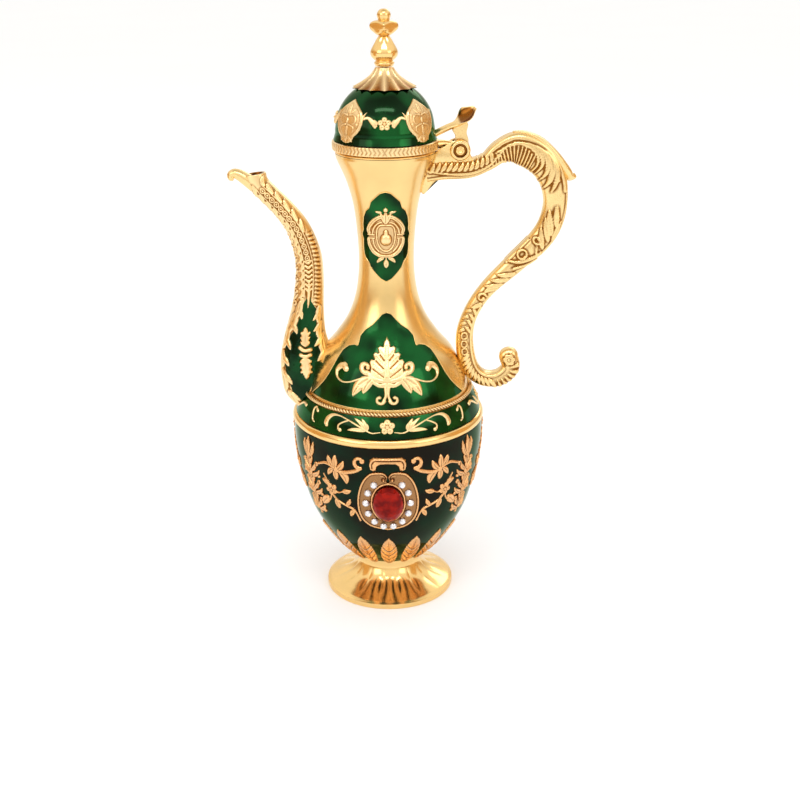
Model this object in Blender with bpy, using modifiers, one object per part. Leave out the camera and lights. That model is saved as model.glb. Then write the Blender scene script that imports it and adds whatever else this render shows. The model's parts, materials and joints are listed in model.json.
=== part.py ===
"""Dallah coffee pot: a cast, gilt and enamelled pot with a curved spout, an S-scroll handle and a hinged lid.

Lengths are in millimetres and are turned into metres when a mesh is made. The origin is the centre of the
foot's underside, +Z is up, -Y is the front, the spout points to -X and the handle and the hinge are at +X.
"""

import math

import bmesh
import bpy
import numpy as np
from mathutils import Matrix, Vector

MM = 0.001
GAP = 0.3                      # clearance between neighbouring pieces
MERGE = 0.00001                # metres, for the Screw modifier

# foot and bowl
FOOT_RADIUS = 32.0
STEM_RADIUS = 15.0
FOOT_TOP = 17.7
BOWL_BASE = FOOT_TOP + GAP
BOWL_TOP = 92.2
BELLY_RADIUS = 46.2
BOWL_WALL = 1.8
FOOT_EDGE = 2.2                # height of the foot's upright edge, and width of its rim
PLATE_THICKNESS = 1.6
PLATE_LEDGE = 1.6              # width of the ledge that the base plate is pressed against
WEB_UNDERSIDE = 14.0           # underside of the closed top of the foot
SCREW_RADIUS = 2.0
SCREW_HEAD_RADIUS = 4.2
SCREW_HEAD_HEIGHT = 2.8
SCREW_REACH = 7.2              # of the shank into the bowl's boss
SCREW_SLOT = (12.0, 1.0, 1.6)
WASHER_RADIUS = 6.5
WASHER_THICKNESS = 1.2
BOWL_FLOOR = 2.4               # thickness of the bowl's floor, and of the boss's closed top
BOSS_RADIUS = 5.5
BOSS_HEIGHT = 10.0

# girdle, frieze, shoulder and neck
GIRDLE_BOTTOM = BOWL_TOP + GAP
GIRDLE_TOP = 96.2
GIRDLE_WIDTH = 3.2
FRIEZE_BOTTOM = GIRDLE_TOP + GAP
ROPE_LEDGE = 106.0
ROPE_RADIUS = 40.4             # to the middle of the twisted ring
ROPE_THICKNESS = 1.7
NECK_TOP = 217.5
BODY_WALL = 1.6
MOUTH_RADIUS = 23.0
MOUTH_TOP = 221.4
MOUTH_BORE = 20.3

# lid and finial
LID_RIM_RADIUS = 24.3
LID_RIM_BOTTOM = 221.9
LID_RIM_TOP = 226.2
FLANGE_RADIUS = 19.5
FLANGE_BOTTOM = 217.8
LID_WALL = 1.4
STUD_RADIUS = 1.5
STUD_BORE = STUD_RADIUS + GAP
NUT_RADIUS = 3.2
NUT_HEIGHT = 2.6
NUT_SPACE = 1.4                # between the dome's inside and the nut
SKIRT_TOP = 258.0
FINIAL_WAIST = 271.3           # where the knob stands on the bulb
FINIAL_TOP = 283.0

# hinge
HINGE_X = 34.0
HINGE_Z = 221.5
BARREL_RADIUS = 4.5
KNUCKLE_HALF_LENGTH = 2.7
EAR_INNER = KNUCKLE_HALF_LENGTH + GAP
EAR_OUTER = 5.6
PIN_RADIUS = 1.3
PIN_BORE = PIN_RADIUS + GAP
PIN_HEAD_RADIUS = 2.5
PIN_RECESS_DEPTH = 0.8
EAR_WEB = (8.0, 9.5)           # width and height of the web that carries the two ears
ARM_THICKNESS = 3.0            # of the bar that joins the knuckle to the lid's rim
ARM_HEIGHT = 223.9
RIB = (4.4, 12.0)              # width and height of the rib under the thumb lever
RIB_CENTRE = (34.6, 229.0)

# jewel on the front and on the back of the bowl
GEM_HEIGHT = 64.5              # of its centre above the table
GEM_HALF_WIDTH = 7.1
GEM_HALF_HEIGHT = 10.1
SETTING_HALF_WIDTH = 14.5
SETTING_HALF_HEIGHT = 16.6
STONE_RADIUS = 1.3
STONES_PER_SIDE = 12
STONE_RING = (10.4, 13.0)      # half axes of the oval that the stones stand on

TURNING_STEPS = 32
SMALL_STEPS = 20
SMOOTHING = 2                  # points per span of a smoothed outline

# Outer outlines as (radius, height), read from top to bottom and smoothed.
BOWL_OUTLINE = [(BELLY_RADIUS, BOWL_TOP), (45.4, 78.0), (42.4, 60.0), (37.5, 45.0), (28.5, 30.0),
                (20.0, 20.5), (STEM_RADIUS, BOWL_BASE)]
SHOULDER_OUTLINE = [(22.3, NECK_TOP), (17.9, 207.0), (14.6, 193.5), (12.95, 172.0), (14.3, 156.0),
                    (18.2, 144.0), (24.6, 134.0), (31.6, 125.5), (36.6, 115.5), (39.0, 108.0)]
FRIEZE_OUTLINE = [(40.9, ROPE_LEDGE), (43.0, 102.3), (44.8, FRIEZE_BOTTOM)]
DOME_OUTLINE = [(3.0, 251.6), (8.0, 250.6), (13.0, 248.6), (17.8, 244.2), (21.2, 238.4), (22.8, 231.5),
                (23.0, LID_RIM_TOP + GAP)]
FOOT_OUTLINE = [(STEM_RADIUS, FOOT_TOP), (15.6, 13.0), (19.5, 8.5), (26.0, 5.2), (30.8, 3.6)]

# Spout sections as (x, z, half width, half depth, tilt of the section's plane in degrees), base to tip.
SPOUT_SECTIONS = [(-33.0, 97.2, 11.5, 9.5, 0.0), (-37.0, 104.0, 13.0, 11.5, 0.0),
                  (-38.5, 113.0, 13.0, 12.0, 0.0), (-39.1, 124.0, 12.2, 11.0, 0.0),
                  (-39.2, 135.0, 9.6, 8.8, 0.0), (-37.6, 148.0, 7.6, 7.2, -3.0),
                  (-36.4, 161.0, 6.7, 6.5, 0.0), (-36.9, 173.0, 6.3, 6.0, 10.0),
                  (-40.9, 185.0, 5.6, 5.4, 28.0), (-47.2, 194.0, 5.0, 4.9, 42.0),
                  (-54.2, 201.5, 4.7, 4.6, 45.0), (-59.6, 206.6, 5.0, 4.4, 36.0),
                  (-63.4, 211.6, 8.6, 4.0, 4.0)]
SPOUT_WALL = 1.5
PORT_RADIUS = 8.0
PORT_HEIGHT = 116.0

# Handle sections as (x, z, half width, half depth), from the neck round the arch to the curl.
HANDLE_SECTIONS = [(15.0, 211.0, 4.6, 5.0), (26.0, 212.6, 4.7, 5.2), (38.0, 213.0, 4.3, 5.6),
                   (46.2, 215.8, 4.0, 5.2), (52.5, 220.2, 5.2, 4.8), (60.5, 221.8, 7.2, 4.8),
                   (70.0, 217.4, 7.4, 4.8), (76.2, 209.0, 6.6, 4.8), (78.4, 198.5, 5.7, 4.6),
                   (76.8, 188.0, 5.6, 4.6), (71.7, 179.0, 5.4, 4.5), (60.2, 167.6, 4.8, 4.4),
                   (47.8, 155.6, 3.8, 4.2), (40.2, 144.0, 3.6, 4.2), (37.2, 132.0, 4.2, 4.3),
                   (39.2, 118.0, 4.4, 4.4), (45.6, 110.8, 3.8, 4.2), (54.0, 110.4, 4.0, 4.2),
                   (59.6, 115.6, 4.4, 4.2), (58.6, 121.6, 4.7, 4.0)]
LEAF_TIP = (84.6, 208.4)       # the pointed leaf that ends the arch

# Thumb lever sections, same columns, from the dome to the tip of the thumb piece.
LEVER_SECTIONS = [(24.4, 230.0, 1.7, 2.6), (29.0, 232.0, 1.8, 2.8), (34.0, 235.4, 1.9, 3.6),
                  (38.0, 238.8, 1.4, 4.2), (40.4, 241.0, 0.9, 2.4)]


# ---------------------------------------------------------------- materials and scene

def make_material(name, colour, roughness, metallic, transmission=0.0):
    material = bpy.data.materials.new(name)
    material.use_nodes = True
    shader = material.node_tree.nodes["Principled BSDF"]
    shader.inputs["Base Color"].default_value = (*colour, 1.0)
    shader.inputs["Roughness"].default_value = roughness
    shader.inputs["Metallic"].default_value = metallic
    shader.inputs["Transmission Weight"].default_value = transmission
    material.diffuse_color = (*colour, 1.0)
    return material


def clear_scene():
    for old in list(bpy.data.objects):
        bpy.data.objects.remove(old, do_unlink=True)


clear_scene()
pot = bpy.data.collections.new("dallah_coffee_pot")
bpy.context.scene.collection.children.link(pot)
cutters = bpy.data.collections.new("cutters")
bpy.context.scene.collection.children.link(cutters)

GOLD = make_material("gold", (0.83, 0.55, 0.20), 0.24, 1.0)
RELIEF_GOLD = make_material("relief_gold", (0.86, 0.63, 0.33), 0.38, 1.0)
GREEN_ENAMEL = make_material("green_enamel", (0.01, 0.17, 0.06), 0.12, 0.3)
DARK_ENAMEL = make_material("dark_enamel", (0.01, 0.05, 0.02), 0.12, 0.3)
RUBY_GLASS = make_material("ruby_glass", (0.55, 0.01, 0.01), 0.05, 0.0, 0.6)
CRYSTAL = make_material("crystal", (0.95, 0.95, 0.97), 0.03, 0.0, 0.8)
STEEL = make_material("steel", (0.60, 0.60, 0.58), 0.35, 1.0)


# ---------------------------------------------------------------- outlines

def smoothed(points, per_span=SMOOTHING):
    """A Catmull-Rom curve through the points, which may have any number of columns."""
    rows = [np.array(p, float) for p in points]
    rows = [2 * rows[0] - rows[1]] + rows + [2 * rows[-1] - rows[-2]]
    curve = []
    for a, b, c, d in zip(rows, rows[1:], rows[2:], rows[3:]):
        for step in range(per_span):
            t = step / per_span
            curve.append(0.5 * (2 * b + (c - a) * t + (2 * a - 5 * b + 4 * c - d) * t * t
                                + (3 * b - a - 3 * c + d) * t ** 3))
    curve.append(rows[-2])
    return [tuple(float(v) for v in p) for p in curve]


def offset(outline, distance):
    """The outline moved along its outward normals; it runs from top to bottom, with its outside at +r."""
    points = [Vector(p) for p in outline]
    moved = []
    for i, point in enumerate(points):
        along = points[min(i + 1, len(points) - 1)] - points[max(i - 1, 0)]
        outward = Vector((-along.y, along.x)).normalized()
        moved.append(tuple(point + outward * distance))
    return moved


def radius_at(outline, height):
    """Outer radius of an outline at a height."""
    return float(np.interp(height, [z for r, z in reversed(outline)], [r for r, z in reversed(outline)]))


bowl_outer = smoothed(BOWL_OUTLINE)
shoulder_outer = smoothed(SHOULDER_OUTLINE)
frieze_outer = smoothed(FRIEZE_OUTLINE, 2)
dome_outer = smoothed(DOME_OUTLINE)
foot_outer = smoothed(FOOT_OUTLINE)
ledge = [(SHOULDER_OUTLINE[-1][0] + 0.1, ROPE_LEDGE)]
body_outer = shoulder_outer + ledge + frieze_outer


# ---------------------------------------------------------------- makers

def add_object(name, mesh, collection, material=None):
    thing = bpy.data.objects.new(name, mesh)
    collection.objects.link(thing)
    if material is not None:
        mesh.materials.append(material)
    return thing


def turned(name, profile, material, closed=True, steps=TURNING_STEPS, collection=pot):
    """A ring (closed profile) or a solid (profile from axis to axis) turned about Z.

    The profile runs down the outer side first, so that its faces point out.
    """
    mesh = bpy.data.meshes.new(name)
    corners = [(r * MM, 0.0, z * MM) for r, z in profile]
    edges = [(i, i + 1) for i in range(len(corners) - 1)]
    if closed:
        edges.append((len(corners) - 1, 0))
    mesh.from_pydata(corners, edges, [])
    thing = add_object(name, mesh, collection, material)
    screw = thing.modifiers.new("Turn", "SCREW")
    screw.steps = screw.render_steps = steps
    screw.use_merge_vertices = True
    screw.merge_threshold = MERGE
    screw.use_smooth_shade = True
    return thing


def loft(name, rings, material, collection=pot, joined=False):
    """Skins rings of equal length; the first and last are capped, or joined to each other."""
    shape = bmesh.new()
    rows = [[shape.verts.new(Vector(p) * MM) for p in ring] for ring in rings]
    pairs = list(zip(rows, rows[1:]))
    if joined:
        pairs.append((rows[-1], rows[0]))
    else:
        shape.faces.new(rows[0])
        shape.faces.new(rows[-1])
    for lower, upper in pairs:
        for i in range(len(lower)):
            j = (i + 1) % len(lower)
            shape.faces.new((lower[i], lower[j], upper[j], upper[i]))
    bmesh.ops.recalc_face_normals(shape, faces=shape.faces)
    mesh = bpy.data.meshes.new(name)
    shape.to_mesh(mesh)
    shape.free()
    mesh.shade_smooth()
    mesh.set_sharp_from_angle(angle=math.radians(40))
    return add_object(name, mesh, collection, material)


def primitive(name, kind, material, collection=pot, matrix=None, **sizes):
    """A cube or a cylinder from bmesh, moved and turned by the matrix; sizes are in millimetres."""
    shape = bmesh.new()
    if kind == "box":
        bmesh.ops.create_cube(shape, size=1.0)
        bmesh.ops.scale(shape, vec=Vector(sizes["size"]) * MM, verts=shape.verts)
        shift = Vector(sizes["centre"]) * MM
        bmesh.ops.translate(shape, vec=shift, verts=shape.verts)
    else:
        bmesh.ops.create_cone(shape, cap_ends=True, segments=sizes.get("segments", SMALL_STEPS),
                              radius1=sizes["radius"] * MM, radius2=sizes["radius"] * MM,
                              depth=sizes["length"] * MM)
    if matrix is not None:
        bmesh.ops.transform(shape, matrix=matrix, verts=shape.verts)
    mesh = bpy.data.meshes.new(name)
    shape.to_mesh(mesh)
    shape.free()
    mesh.shade_smooth()
    mesh.set_sharp_from_angle(angle=math.radians(40))
    return add_object(name, mesh, collection, material)


def across_hinge(x=HINGE_X, y=0.0, z=HINGE_Z):
    """Puts a cylinder made along Z on a line along Y through the given point."""
    return Matrix.Translation(Vector((x, y, z)) * MM) @ Matrix.Rotation(math.radians(90), 4, "X")


def combine(target, tool, operation):
    """Unites with or cuts by a tool, which is kept as a hidden guide."""
    step = target.modifiers.new(operation.title() + " " + tool.name, "BOOLEAN")
    step.operation = operation
    step.solver = "EXACT"
    step.object = tool
    tool.hide_render = True
    tool.display_type = "WIRE"


def oval_ring(centre, across, half_width, half_depth, sides, squareness=1.0):
    """A ring of points about a centre: half_width runs along `across`, half_depth along Y."""
    ring = []
    for i in range(sides):
        turn = 2 * math.pi * i / sides
        c, s = math.cos(turn), math.sin(turn)
        u = math.copysign(abs(c) ** squareness, c) * half_width
        v = math.copysign(abs(s) ** squareness, s) * half_depth
        ring.append(Vector(centre) + across * u + Vector((0.0, v, 0.0)))
    return ring


def sweep_rings(sections, sides, squareness):
    """Oval rings square to the path that runs through the sections' (x, z) points."""
    path = [Vector((x, 0.0, z)) for x, z, w, d in sections]
    rings = []
    for i, (x, z, width, depth) in enumerate(sections):
        along = (path[min(i + 1, len(path) - 1)] - path[max(i - 1, 0)]).normalized()
        across = Vector((along.z, 0.0, -along.x))
        rings.append(oval_ring(path[i], across, width, depth, sides, squareness))
    return rings


def clearance_body():
    """The pot's outer body from the girdle to the mouth, grown by the gap, as a closed cutter."""
    rope_reach = ROPE_RADIUS + ROPE_THICKNESS / 2 + GAP
    profile = ([(0.0, MOUTH_TOP + GAP), (MOUTH_RADIUS + GAP, MOUTH_TOP + GAP),
                (MOUTH_RADIUS + GAP, NECK_TOP)] + offset(shoulder_outer, GAP)[1:]
               + [(rope_reach, ROPE_LEDGE + ROPE_THICKNESS + 2 * GAP), (rope_reach, ROPE_LEDGE)]
               + offset(frieze_outer, GAP)[1:-1]
               + [(BELLY_RADIUS + 2 * GAP, GIRDLE_TOP + GAP), (BELLY_RADIUS + 2 * GAP, GIRDLE_BOTTOM),
                  (0.0, GIRDLE_BOTTOM)])
    return turned("body_clearance", profile, None, closed=False, collection=cutters)


# ---------------------------------------------------------------- foot and bowl

def build_foot():
    recess = FOOT_RADIUS - FOOT_EDGE
    inner = offset(foot_outer, -BOWL_WALL)[2:]
    ledge_height = PLATE_THICKNESS + GAP
    profile = (foot_outer + [(FOOT_RADIUS, FOOT_EDGE), (FOOT_RADIUS, 0.0), (recess, 0.0),
                             (recess, ledge_height), (recess - PLATE_LEDGE, ledge_height)]
               + [(r, z) for r, z in reversed(inner) if z < WEB_UNDERSIDE - 1.0 and r < recess - 2.0]
               + [(STEM_RADIUS - BOWL_WALL, WEB_UNDERSIDE), (SCREW_RADIUS + GAP, WEB_UNDERSIDE),
                  (SCREW_RADIUS + GAP, FOOT_TOP)])
    turned("foot", profile, GOLD)
    plate_radius = recess - GAP
    turned("base_plate", [(0.0, PLATE_THICKNESS), (plate_radius, PLATE_THICKNESS), (plate_radius, 0.0),
                          (0.0, 0.0)], GOLD, closed=False)


def build_foot_screw():
    washer_top = WEB_UNDERSIDE - GAP
    washer_bottom = washer_top - WASHER_THICKNESS
    washer_bore = SCREW_RADIUS + GAP
    head_top = washer_bottom - GAP
    head_bottom = head_top - SCREW_HEAD_HEIGHT
    shank_top = BOWL_BASE + SCREW_REACH
    turned("foot_washer", [(WASHER_RADIUS, washer_top), (WASHER_RADIUS, washer_bottom),
                           (washer_bore, washer_bottom), (washer_bore, washer_top)],
           STEEL, steps=SMALL_STEPS)
    slot = primitive("screw_slot", "box", None, cutters, size=SCREW_SLOT,
                     centre=(0.0, 0.0, head_bottom))
    screw = turned("foot_screw", [(0.0, shank_top), (SCREW_RADIUS, shank_top), (SCREW_RADIUS, head_top),
                                  (SCREW_HEAD_RADIUS, head_top), (SCREW_HEAD_RADIUS, head_bottom),
                                  (0.0, head_bottom)], STEEL, closed=False, steps=SMALL_STEPS)
    combine(screw, slot, "DIFFERENCE")


def build_bowl():
    """An open bowl with a boss on its floor, drilled from below for the foot's screw."""
    inner = [(r, z) for r, z in offset(bowl_outer, -BOWL_WALL) if z > BOWL_BASE + 3.0]
    inner[0] = (BELLY_RADIUS - BOWL_WALL, BOWL_TOP)
    floor = BOWL_BASE + BOWL_FLOOR
    boss_top = BOWL_BASE + BOSS_HEIGHT
    hole = SCREW_RADIUS + GAP
    hole_top = boss_top - BOWL_FLOOR
    drilled = [(hole, BOWL_BASE), (hole, hole_top), (0.0, hole_top)]
    boss = [(0.0, boss_top), (BOSS_RADIUS, boss_top), (BOSS_RADIUS, floor), (STEM_RADIUS - 1.0, floor)]
    turned("lower_bowl", bowl_outer + drilled + boss + list(reversed(inner)), DARK_ENAMEL)


def build_girdle():
    inner = BELLY_RADIUS - GIRDLE_WIDTH
    turned("girdle_band", [(45.3, GIRDLE_TOP), (BELLY_RADIUS + 0.4, GIRDLE_BOTTOM + 0.9),
                           (BELLY_RADIUS + 0.1, GIRDLE_BOTTOM), (inner, GIRDLE_BOTTOM),
                           (inner, GIRDLE_TOP)], GOLD)


# ---------------------------------------------------------------- shoulder, neck and mouth

def build_upper_body():
    """One shell from the girdle to the top of the neck, with the port that feeds the spout."""
    inner = offset(SHOULDER_OUTLINE + [(41.3, 103.4), (44.8, FRIEZE_BOTTOM)], -BODY_WALL)
    inner[0] = (MOUTH_BORE, NECK_TOP)
    inner[-1] = (44.8 - BODY_WALL, FRIEZE_BOTTOM)
    shell = turned("upper_body", body_outer + list(reversed(inner)), GOLD)
    port = primitive("spout_port", "cylinder", None, cutters, radius=PORT_RADIUS, length=24.0,
                     segments=16, matrix=Matrix.Translation(Vector((-38.0, 0.0, PORT_HEIGHT)) * MM)
                     @ Matrix.Rotation(math.radians(90), 4, "Y"))
    combine(shell, port, "DIFFERENCE")


def build_rope_ring():
    half = ROPE_THICKNESS / 2
    middle = ROPE_LEDGE + GAP + half
    profile = [(ROPE_RADIUS + half * math.cos(turn), middle + half * math.sin(turn))
               for turn in (math.pi / 2 - math.pi * i / 3 for i in range(6))]
    turned("rope_ring", profile, RELIEF_GOLD)


def build_mouth_collar():
    bottom = NECK_TOP + GAP
    turned("mouth_collar", [(MOUTH_RADIUS - 0.5, MOUTH_TOP), (MOUTH_RADIUS, MOUTH_TOP - 0.8),
                            (MOUTH_RADIUS - 0.3, bottom + 0.6), (MOUTH_RADIUS - 1.0, bottom),
                            (MOUTH_BORE, bottom), (MOUTH_BORE, MOUTH_TOP)], GOLD)


# ---------------------------------------------------------------- spout

def spout_rings(sections, wall, sides=14):
    rings = []
    for x, z, width, depth, tilt in sections:
        angle = math.radians(tilt)
        across = Vector((math.cos(angle), 0.0, math.sin(angle)))
        rings.append(oval_ring((x, 0.0, z), across, width - wall, depth - wall, sides))
    return rings


def build_spout(clearance):
    """A tapering hollow casting whose foot sits on the shoulder; its mouth opens upwards in a lip."""
    sections = smoothed(SPOUT_SECTIONS)
    spout = loft("spout", spout_rings(sections, 0.0), RELIEF_GOLD)
    tip_x, tip_z, tip_width, tip_depth, tip_tilt = sections[-1]
    beyond = (tip_x - 1.5, tip_z + 2.0, tip_width, tip_depth, tip_tilt)
    bore = loft("spout_bore", spout_rings(sections[1:] + [beyond], SPOUT_WALL), None, cutters)
    combine(spout, bore, "DIFFERENCE")
    combine(spout, clearance, "DIFFERENCE")


# ---------------------------------------------------------------- handle and hinge pin

def build_handle(clearance):
    """The S-scroll handle, one casting with the hinge's two ears on its bracket."""
    handle = loft("handle", sweep_rings(smoothed(HANDLE_SECTIONS), 12, 0.8), RELIEF_GOLD)
    tip_x, tip_z = LEAF_TIP
    leaf = loft("arch_leaf", [oval_ring((x, 0.0, z), Vector((0.6, 0.0, 0.8)), w, d, 8)
                              for x, z, w, d in [(76.0, 212.4, 3.4, 3.8), (81.0, 209.6, 2.0, 3.0),
                                                 (tip_x, tip_z, 0.8, 1.2)]], None, cutters)
    web_width, web_height = EAR_WEB
    web = primitive("ear_web", "box", None, cutters, size=(web_width, 2 * EAR_OUTER, web_height),
                    centre=(HINGE_X, 0.0, HINGE_Z - web_height / 2))
    barrel = primitive("ear_barrel", "cylinder", None, cutters, radius=BARREL_RADIUS,
                       length=2 * EAR_OUTER, matrix=across_hinge())
    slot = primitive("knuckle_slot", "cylinder", None, cutters, radius=BARREL_RADIUS + GAP,
                     length=2 * EAR_INNER, matrix=across_hinge())
    bore = primitive("pin_bore", "cylinder", None, cutters, radius=PIN_BORE, length=40.0,
                     segments=16, matrix=across_hinge())
    recess = primitive("pin_recess", "cylinder", None, cutters, radius=PIN_HEAD_RADIUS + GAP,
                       length=2 * PIN_RECESS_DEPTH, segments=16, matrix=across_hinge(y=-EAR_OUTER))
    for tool in (leaf, web, barrel):
        combine(handle, tool, "UNION")
    for tool in (slot, bore, recess, clearance):
        combine(handle, tool, "DIFFERENCE")


def build_hinge_pin():
    """A rivet along Y: its flat head sits in the front ear's recess, its peened end behind the back ear."""
    head_back = -EAR_OUTER + PIN_RECESS_DEPTH - GAP
    profile = [(0.0, EAR_OUTER + 1.1), (1.9, EAR_OUTER + 1.0), (2.2, EAR_OUTER + GAP),
               (PIN_RADIUS, EAR_OUTER + GAP), (PIN_RADIUS, head_back), (PIN_HEAD_RADIUS, head_back),
               (PIN_HEAD_RADIUS, head_back - 0.7), (1.6, head_back - 1.0), (0.0, head_back - 1.0)]
    pin = turned("hinge_pin", profile, GOLD, closed=False, steps=16)
    pin.location = Vector((HINGE_X, 0.0, HINGE_Z)) * MM
    pin.rotation_euler = (math.radians(-90), 0.0, 0.0)


# ---------------------------------------------------------------- lid

def on_hinge(piece, hinge):
    """Parents a lid piece to the hinge empty and leaves it where it is."""
    piece.parent = hinge
    piece.matrix_parent_inverse = hinge.matrix_world.inverted()


def build_lid():
    rim = turned("lid_rim", [(LID_RIM_RADIUS - 0.6, LID_RIM_TOP), (LID_RIM_RADIUS, LID_RIM_TOP - 0.9),
                             (LID_RIM_RADIUS, LID_RIM_BOTTOM + 0.9), (LID_RIM_RADIUS - 0.5, LID_RIM_BOTTOM),
                             (FLANGE_RADIUS + GAP, LID_RIM_BOTTOM), (FLANGE_RADIUS + GAP, LID_RIM_TOP)],
                 RELIEF_GOLD)
    flange = turned("lid_flange", [(FLANGE_RADIUS, LID_RIM_TOP), (FLANGE_RADIUS, FLANGE_BOTTOM + 0.8),
                                   (FLANGE_RADIUS - 0.6, FLANGE_BOTTOM), (FLANGE_RADIUS - 1.2, FLANGE_BOTTOM),
                                   (FLANGE_RADIUS - 1.2, LID_RIM_TOP)], GOLD)
    inner = offset(DOME_OUTLINE, -LID_WALL)
    inner[0] = (STUD_BORE, inner[1][1] + 0.6)
    inner[-1] = (23.0 - LID_WALL, LID_RIM_TOP + GAP)
    outer = [(STUD_BORE, dome_outer[0][1])] + dome_outer
    dome = turned("lid_dome", outer + list(reversed(inner)), GREEN_ENAMEL)
    return [rim, flange, dome]


def build_lever():
    """The lid's half of the hinge: knuckle, arm to the rim, and a leaf-shaped thumb lever."""
    knuckle = primitive("lid_lever", "cylinder", RELIEF_GOLD, radius=BARREL_RADIUS - 0.2,
                        length=2 * KNUCKLE_HALF_LENGTH, matrix=across_hinge())
    arm_start = LID_RIM_RADIUS + GAP
    arm = primitive("lever_arm", "box", None, cutters,
                    size=(HINGE_X - arm_start, 2 * KNUCKLE_HALF_LENGTH - 0.4, ARM_THICKNESS),
                    centre=((HINGE_X + arm_start) / 2, 0.0, ARM_HEIGHT))
    rib = primitive("lever_rib", "box", None, cutters,
                    size=(RIB[0], 2 * KNUCKLE_HALF_LENGTH - 1.0, RIB[1]),
                    centre=(RIB_CENTRE[0], 0.0, RIB_CENTRE[1]))
    leaf = loft("lever_leaf", sweep_rings(smoothed(LEVER_SECTIONS), 10, 0.9), None, cutters)
    bore = primitive("knuckle_bore", "cylinder", None, cutters, radius=PIN_BORE, length=12.0,
                     segments=16, matrix=across_hinge())
    for tool in (arm, rib, leaf):
        combine(knuckle, tool, "UNION")
    combine(knuckle, bore, "DIFFERENCE")
    return knuckle


def build_finial():
    """A fluted skirt, a pear-shaped bulb and a lobed knob, held by a stud and a nut inside the dome."""
    hem = [(r, z) for r, z in offset(dome_outer, GAP) if STUD_BORE < r < 13.2]
    skirt = turned("finial_skirt", [(4.1, SKIRT_TOP), (5.6, 255.8), (8.0, 253.0), (11.2, 250.9),
                                    (13.7, 249.2), (13.4, hem[-1][1])] + list(reversed(hem))
                   + [(STUD_BORE, hem[0][1]), (STUD_BORE, SKIRT_TOP)], RELIEF_GOLD, steps=24)
    bulb_bottom = SKIRT_TOP + GAP
    bulb = turned("finial_bulb", [(0.0, FINIAL_WAIST), (2.7, FINIAL_WAIST), (3.6, 269.6), (5.2, 267.0),
                                  (6.0, 264.6), (4.8, 262.2), (3.9, 261.2), (4.2, 260.6), (4.2, 259.0),
                                  (3.8, bulb_bottom), (STUD_BORE, bulb_bottom), (STUD_BORE, 263.3),
                                  (0.0, 263.3)], RELIEF_GOLD, closed=False, steps=SMALL_STEPS)
    knob_bottom = FINIAL_WAIST + GAP
    knob = turned("finial_knob", [(0.0, FINIAL_TOP), (1.4, 282.4), (2.4, 281.2), (2.8, 279.8),
                                  (2.3, 278.4), (3.4, 277.6), (5.7, 275.9), (5.9, 274.9), (4.4, 273.4),
                                  (2.7, knob_bottom), (0.0, knob_bottom)], RELIEF_GOLD, closed=False,
                  steps=SMALL_STEPS)
    nut_top = dome_outer[0][1] - LID_WALL - NUT_SPACE
    nut_bottom = nut_top - NUT_HEIGHT
    nut = turned("finial_nut", [(NUT_RADIUS, nut_top), (NUT_RADIUS, nut_bottom), (STUD_BORE, nut_bottom),
                                (STUD_BORE, nut_top)], STEEL, steps=6)
    stud = turned("finial_stud", [(0.0, 263.0), (STUD_RADIUS, 263.0), (STUD_RADIUS, nut_bottom - 1.0),
                                  (0.0, nut_bottom - 1.0)], STEEL, closed=False, steps=16)
    return [skirt, bulb, knob, nut, stud]


# ---------------------------------------------------------------- jewels

def bowl_point(along_girth, height, lift, side):
    """A point `lift` above the bowl's surface; `side` is -1 for the front and 1 for the back."""
    radius = radius_at(bowl_outer, height)
    slope = (radius_at(bowl_outer, height + 1) - radius_at(bowl_outer, height - 1)) / 2
    steepness = math.hypot(1.0, slope)
    angle = along_girth / radius
    reach = radius + lift / steepness
    return Vector((reach * math.sin(angle), side * reach * math.cos(angle),
                   height - lift * slope / steepness))


def setting_ring(half_width, half_height, lift, side, sides=28):
    return [bowl_point(half_width * math.cos(turn), GEM_HEIGHT + half_height * math.sin(turn), lift, side)
            for turn in (2 * math.pi * i / sides for i in range(sides))]


def build_setting(name, side):
    """The oval plate, bent to the bowl, that holds the gem and the small stones."""
    inner = (GEM_HALF_WIDTH + GAP, GEM_HALF_HEIGHT + GAP)
    outer = (SETTING_HALF_WIDTH, SETTING_HALF_HEIGHT)
    rings = [setting_ring(*inner, GAP + 0.1, side), setting_ring(*inner, 2.0, side),
             setting_ring(*outer, 1.5, side), setting_ring(*outer, GAP + 0.1, side)]
    loft(name, rings, RELIEF_GOLD, joined=True)


def jewel(name, centre, tilt, side, rings, material, sides):
    """A cut stone: oval rings of (half width, half height, lift) on a plane that faces out of the bowl."""
    right = Vector((1.0, 0.0, 0.0))
    out = Vector((0.0, side * math.cos(tilt), -math.sin(tilt)))
    up = Vector((0.0, side * math.sin(tilt), math.cos(tilt)))
    loft(name, [[Vector(centre) + right * (w * math.cos(turn)) + up * (h * math.sin(turn)) + out * lift
                 for turn in (2 * math.pi * i / sides for i in range(sides))]
                for w, h, lift in rings], material)


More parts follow.
